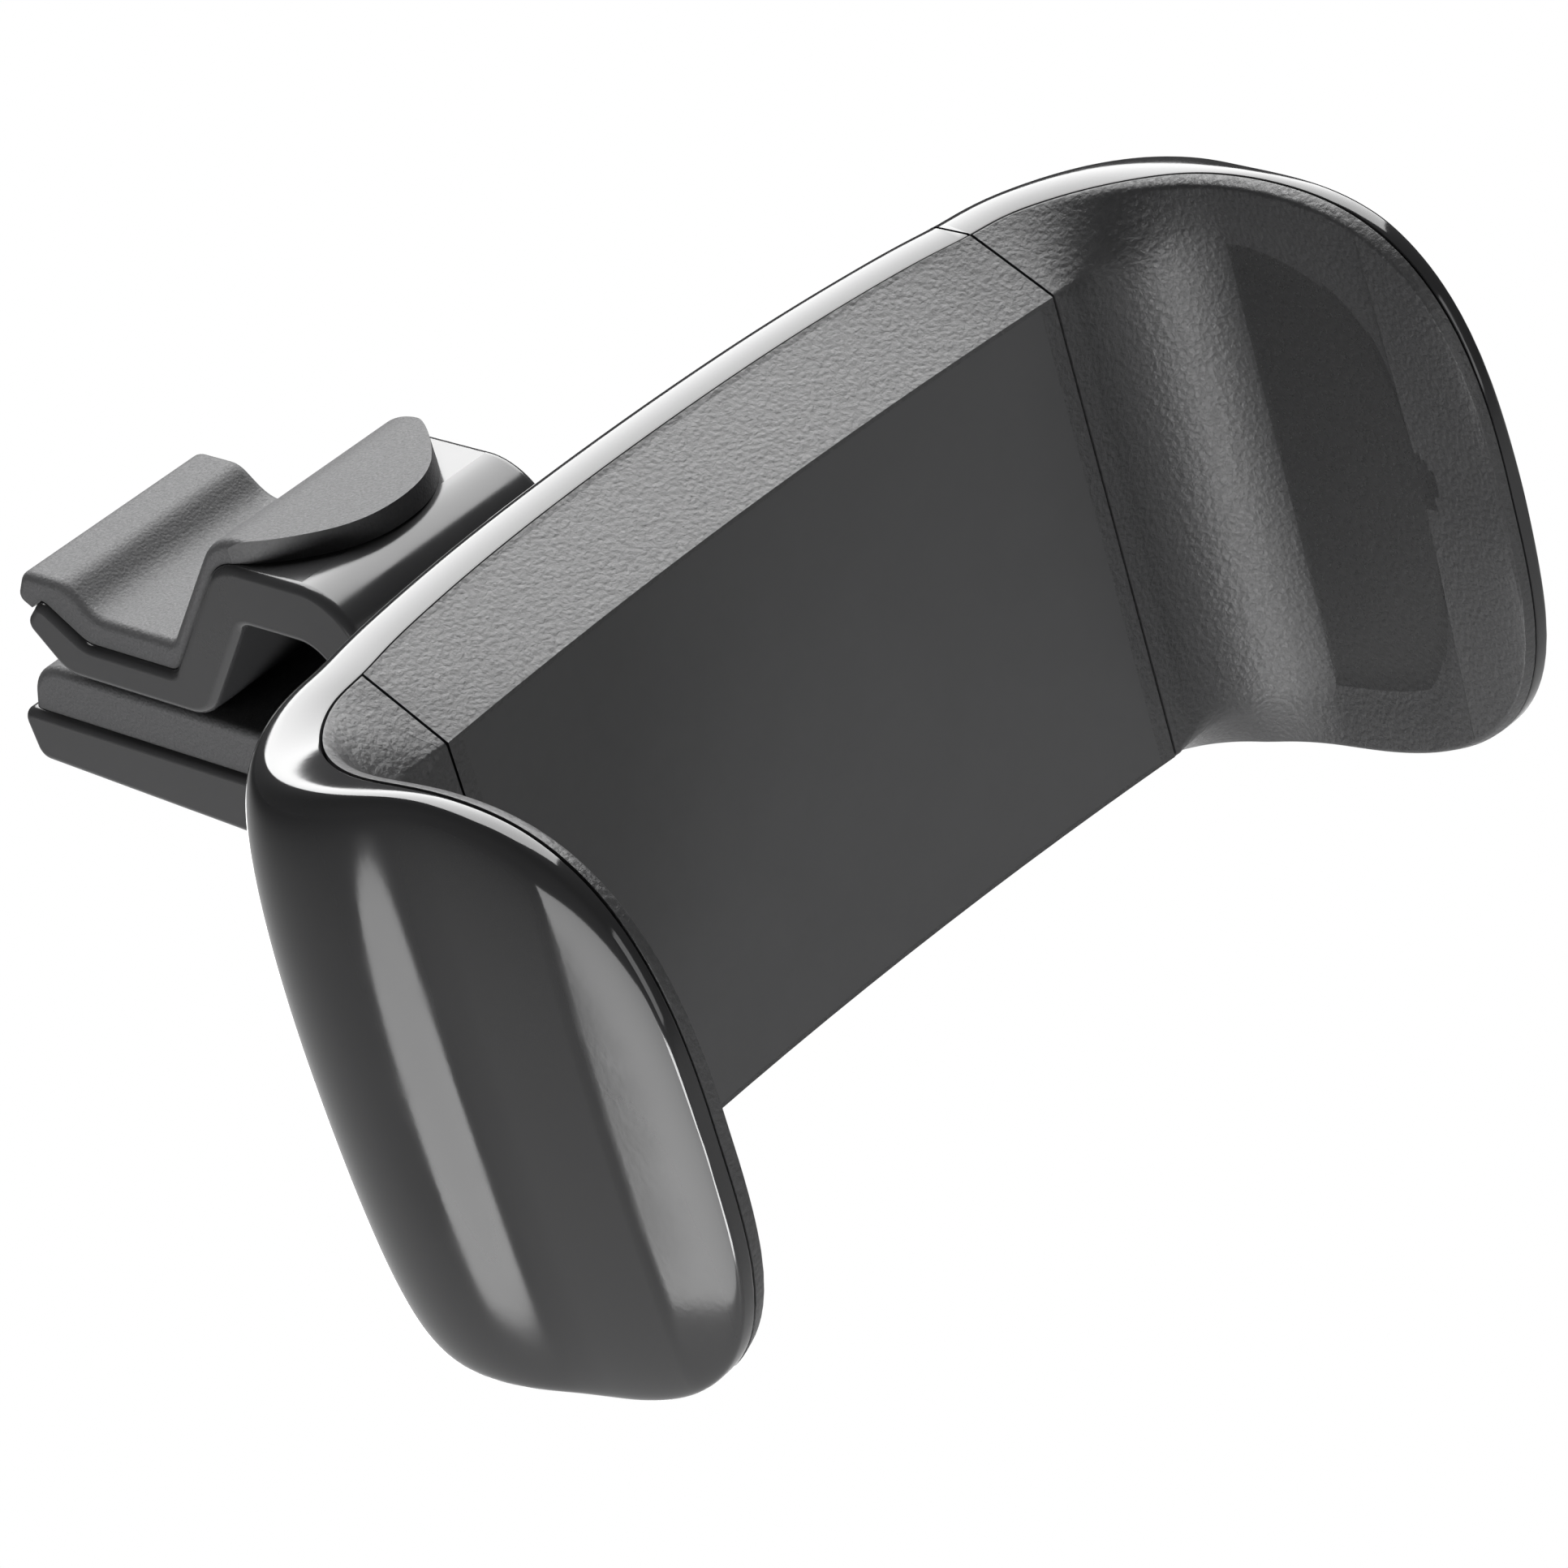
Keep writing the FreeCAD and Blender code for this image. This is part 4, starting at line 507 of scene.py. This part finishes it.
def sweep(name, loops):
    """A closed body skinned over loops of equally many points."""
    count = len(loops[0])
    points = [p for loop in loops for p in loop]
    faces = []
    for i in range(len(loops) - 1):
        for j in range(count):
            k = (j + 1) % count
            faces.append((i * count + j, i * count + k, (i + 1) * count + k, (i + 1) * count + j))
    last = (len(loops) - 1) * count
    faces.append(tuple(range(count)))
    faces.append(tuple(last + j for j in reversed(range(count))))
    return new_mesh(name, points, faces)


def swept(name, places, section):
    return sweep(name, [[s.at(n, z) for n, z in section(s)] for s in places])


def turned(name, profile, centre, axis, sides):
    """A body turned about an axis through the centre from (radius, along) points, closed at both ends."""
    axis = np.array(axis, float)
    side = np.array([0.0, 0.0, 1.0]) if abs(axis[2]) < 0.5 else np.array([1.0, 0.0, 0.0])
    other = np.cross(axis, side)
    loops = []
    for radius, along in profile:
        ring = [2 * math.pi * i / sides for i in range(sides)]
        loops.append([np.array(centre) + axis * along + (side * math.cos(a) + other * math.sin(a)) * radius
                      for a in ring])
    return sweep(name, loops)


def carve(piece, cutters):
    """Cuts the cutters out of the piece and deletes them."""
    for cutter in cutters:
        cut = piece.modifiers.new("cut", "BOOLEAN")
        cut.operation, cut.solver, cut.object = "DIFFERENCE", "EXACT", cutter
    bpy.context.view_layer.update()
    solid = bpy.data.meshes.new_from_object(piece.evaluated_get(bpy.context.evaluated_depsgraph_get()))
    piece.modifiers.clear()
    piece.data = solid
    for cutter in cutters:
        bpy.data.objects.remove(cutter)


def finish_piece(piece, material, body, node, angle=SHELL_SHARP):
    """Gives a piece its material and smooth shading, sets it on the body that it rides on, and hides the CAD node
    that it stands in for.
    """
    piece.data.materials.clear()
    piece.data.materials.append(materials[material])
    piece.data.shade_smooth()
    piece.data.set_sharp_from_angle(angle=math.radians(angle))
    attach(piece, body)
    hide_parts(node)


def hole(x, z, start, radius, sides):
    """A round cutter from the given depth out through the back."""
    return turned("hole", [(radius, 0.0), (radius, THROUGH)], (x, start, z), (0, 1, 0), sides)


def slab(side, x):
    """A cutter that fills all space past the plane at x, on that side."""
    far = 90.0
    points = [(a, b, c) for a in (x, x + side * far) for b in (-far, far) for c in (-far, far)]
    faces = [(0, 1, 3, 2), (4, 6, 7, 5), (0, 4, 5, 1), (2, 3, 7, 6), (0, 2, 6, 4), (1, 5, 7, 3)]
    return new_mesh("slab", points, faces)


def make_rear_shell():
    """Back of the body and the left jaw's skin, with the socket's port and the screws' counterbores."""
    shell = swept("rear_shell_skin", stations(-WHOLE_JAW, SPLIT + 0.5), shell_loop)
    inside = stations(HOLLOW_FROM, HOLLOW_TO)
    hollow = swept("hollow", inside, lambda s: shell_loop(s, WALL, HOLLOW_FRONT, HOLLOW_STEPS))
    port = hole(0, 0, PORT_START_Y, PORT_RADIUS, 96)
    bores = [hole(x, z, COVER_BORE_Y, BORE_RADIUS, 40) for x, z in COVER_SCREWS]
    carve(shell, [slab(1, SPLIT - SPLIT_GAP / 2.0), hollow, port] + bores)
    finish_piece(shell, "gloss_shell", "cradle", "rear_shell")


def make_jaw_shell():
    """Glossy skin of the sliding jaw, with its two screws' counterbores."""
    shell = swept("right_jaw_skin", stations(SPLIT - 3.0, WHOLE_JAW), shell_loop)
    bores = [hole(x, z, JAW_BORE_Y, BORE_RADIUS, 40) for x, z in JAW_SCREWS]
    carve(shell, [slab(-1, SPLIT + SPLIT_GAP / 2.0)] + bores)
    finish_piece(shell, "gloss_shell", "jaw", "right_jaw_shell")


def smooth_floor_paint_shade(piece):
    """Gives the dish's floor a finer, smoother grain and a darker colour that is painted shade, up to the crease
    where the grained strips begin.
    """
    piece.data.materials.append(materials["dish_floor_painted_shade"])
    for face in piece.data.polygons:
        x, y = (np.array(face.center) / MM + GRIP)[:2]
        inward = -face.normal.x * math.copysign(1.0, x)
        limit_x = plate_x(max(-y / JAW_REACH, PLATE_START)) - LEAST_FLOOR - SMOOTH_SHADE_REACH
        if inward > SMOOTH_SHADE_FACING and abs(x) > limit_x and y < SMOOTH_SHADE_START_Y:
            face.material_index = 1


def make_liners():
    """Grained dishes of both jaws, each ending at its split."""
    inner, edge = SPLIT - 0.2, SPLIT + SPLIT_GAP / 2.0
    for name, ends, body, node, side in (
            ("left_dish", (-WHOLE_JAW, -inner), "cradle", "left_jaw_liner", 1),
            ("right_dish", (inner, WHOLE_JAW), "jaw", "right_jaw_liner", -1)):
        dish = swept(name, stations(*ends), liner_loop)
        carve(dish, [slab(side, -side * edge)])
        finish_piece(dish, "grained_cover", body, node, LINER_SHARP)
        # The floor's darker colour is painted shade; its smoother grain is the floor's own
        smooth_floor_paint_shade(dish)


def wire(name, points, radius):
    """A round wire along the points."""
    curve = bpy.data.curves.new(name, "CURVE")
    curve.dimensions, curve.use_fill_caps = "3D", True
    curve.bevel_depth, curve.bevel_resolution = radius * MM, 2
    line = curve.splines.new("POLY")
    line.points.add(len(points) - 1)
    for knot, point in zip(line.points, (np.array(points) - GRIP) * MM):
        knot.co = (*point, 1.0)
    guide = bpy.data.objects.new(name, curve)
    bpy.context.scene.collection.objects.link(guide)
    bpy.context.view_layer.update()
    mesh = bpy.data.meshes.new_from_object(guide.evaluated_get(bpy.context.evaluated_depsgraph_get()))
    bpy.data.objects.remove(guide)
    piece = bpy.data.objects.new(name, mesh)
    bpy.context.scene.collection.objects.link(piece)
    return piece


def make_springs():
    """Wound tension springs from the shell's posts to the slider's ears, built once at their present length."""
    for node in ("upper_spring", "lower_spring"):
        low, high = (np.array(corner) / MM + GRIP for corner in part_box(node))
        y, z = (low[1] + high[1]) / 2.0, (low[2] + high[2]) / 2.0
        first, last = low[0] + SPRING_EYE + SPRING_WIRE, high[0] - SPRING_EYE - SPRING_WIRE
        coil = (first + SPRING_EYE + SPRING_HOOK, last - SPRING_EYE - SPRING_HOOK)
        radius = (high[1] - low[1]) / 2.0 - SPRING_WIRE
        turns = round((coil[1] - coil[0]) / SPRING_PITCH)
        points = []
        for a in np.linspace(EYE_GAP, 2.0 * math.pi, EYE_STEPS):
            points.append((first + SPRING_EYE * math.cos(a), y, z + SPRING_EYE * math.sin(a)))
        for t in np.linspace(0.0, 1.0, turns * COIL_STEPS + 1):
            a = 2.0 * math.pi * turns * t
            points.append((coil[0] + (coil[1] - coil[0]) * t, y + radius * math.sin(a), z + radius * math.cos(a)))
        for a in np.linspace(math.pi, 3.0 * math.pi - EYE_GAP, EYE_STEPS):
            points.append((last + SPRING_EYE * math.cos(a), y, z + SPRING_EYE * math.sin(a)))
        spring = wire(node + "_wire", points, SPRING_WIRE)
        spring.data.materials.append(materials["spring_steel"])
        spring.data.shade_smooth()
        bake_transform(spring)
        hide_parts(node)


# Studio

def area_light(name, location, target, size, power):
    data = bpy.data.lights.new(name, "AREA")
    data.shape = "RECTANGLE"
    data.size, data.size_y = size
    data.energy = power
    lamp = bpy.data.objects.new(name, data)
    direction = Vector(target) - Vector(location)
    lamp.location = location
    lamp.rotation_mode = "QUATERNION"
    lamp.rotation_quaternion = direction.to_track_quat("-Z", "Y")
    lamp.visible_camera = False
    bpy.context.scene.collection.objects.link(lamp)


def make_floor():
    """Pale table under the object, plain white where the camera looks straight at it."""
    mesh = bpy.data.meshes.new("floor")
    size, height = 4.0, cad_box[0].z - 0.33
    corners = [(-size, -size, height), (size, -size, height), (size, size, height), (-size, size, height)]
    mesh.from_pydata(corners, [], [(0, 1, 2, 3)])
    floor = bpy.data.objects.new("floor", mesh)
    bpy.context.scene.collection.objects.link(floor)
    material = bpy.data.materials.new("floor")
    material.use_nodes = True
    nodes, links = material.node_tree.nodes, material.node_tree.links
    shader = next(n for n in nodes if n.type == "BSDF_PRINCIPLED")
    out = next(n for n in nodes if n.type == "OUTPUT_MATERIAL")
    shader.inputs["Base Color"].default_value = (0.42, 0.42, 0.42, 1.0)
    shader.inputs["Roughness"].default_value = 0.9
    white = nodes.new("ShaderNodeEmission")
    white.inputs["Strength"].default_value = 1.0
    mix = nodes.new("ShaderNodeMixShader")
    seen = nodes.new("ShaderNodeLightPath")
    links.new(seen.outputs["Is Camera Ray"], mix.inputs[0])
    links.new(shader.outputs[0], mix.inputs[1])
    links.new(white.outputs[0], mix.inputs[2])
    links.new(mix.outputs[0], out.inputs[0])
    mesh.materials.append(material)


def make_world():
    world = bpy.data.worlds.new("studio")
    bpy.context.scene.world = world
    world.use_nodes = True
    nodes, links = world.node_tree.nodes, world.node_tree.links
    dim = next(n for n in nodes if n.type == "BACKGROUND")
    out = next(n for n in nodes if n.type == "OUTPUT_WORLD")
    dim.inputs["Color"].default_value = (0.05, 0.05, 0.05, 1.0)
    white = nodes.new("ShaderNodeBackground")
    white.inputs["Color"].default_value = (1.0, 1.0, 1.0, 1.0)
    mix = nodes.new("ShaderNodeMixShader")
    seen = nodes.new("ShaderNodeLightPath")
    links.new(seen.outputs["Is Camera Ray"], mix.inputs[0])
    links.new(dim.outputs[0], mix.inputs[1])
    links.new(white.outputs[0], mix.inputs[2])
    links.new(mix.outputs[0], out.inputs[0])


def make_lights():
    """A large softbox above and behind, three low cards that draw the jaws' bands, and a weak front fill."""
    aim = Vector((0.0, -0.047, 0.004))
    area_light("softbox", aim + Vector((0.42, 0.36, 0.60)), aim, (1.0, 0.9), 21.5)
    area_light("fillet_card", aim + Vector((-0.36, -0.27, -0.26)), aim, (0.20, 0.22), 2.2)
    area_light("front_card", aim + Vector((-0.45, -0.015, -0.26)), aim, (0.52, 0.34), 2.1)
    area_light("back_card", aim + Vector((0.24, 0.37, -0.26)), aim, (0.22, 0.34), 0.45)
    area_light("fill", aim + Vector((0.15, -0.9, 0.1)), aim, (0.6, 0.6), 2.6)


make_camera()
make_world()
make_floor()
make_lights()
materials = make_materials()
assign_materials(materials)
make_rear_shell()
make_jaw_shell()
make_liners()
make_springs()

bpy.context.scene.view_settings.view_transform = "Standard"
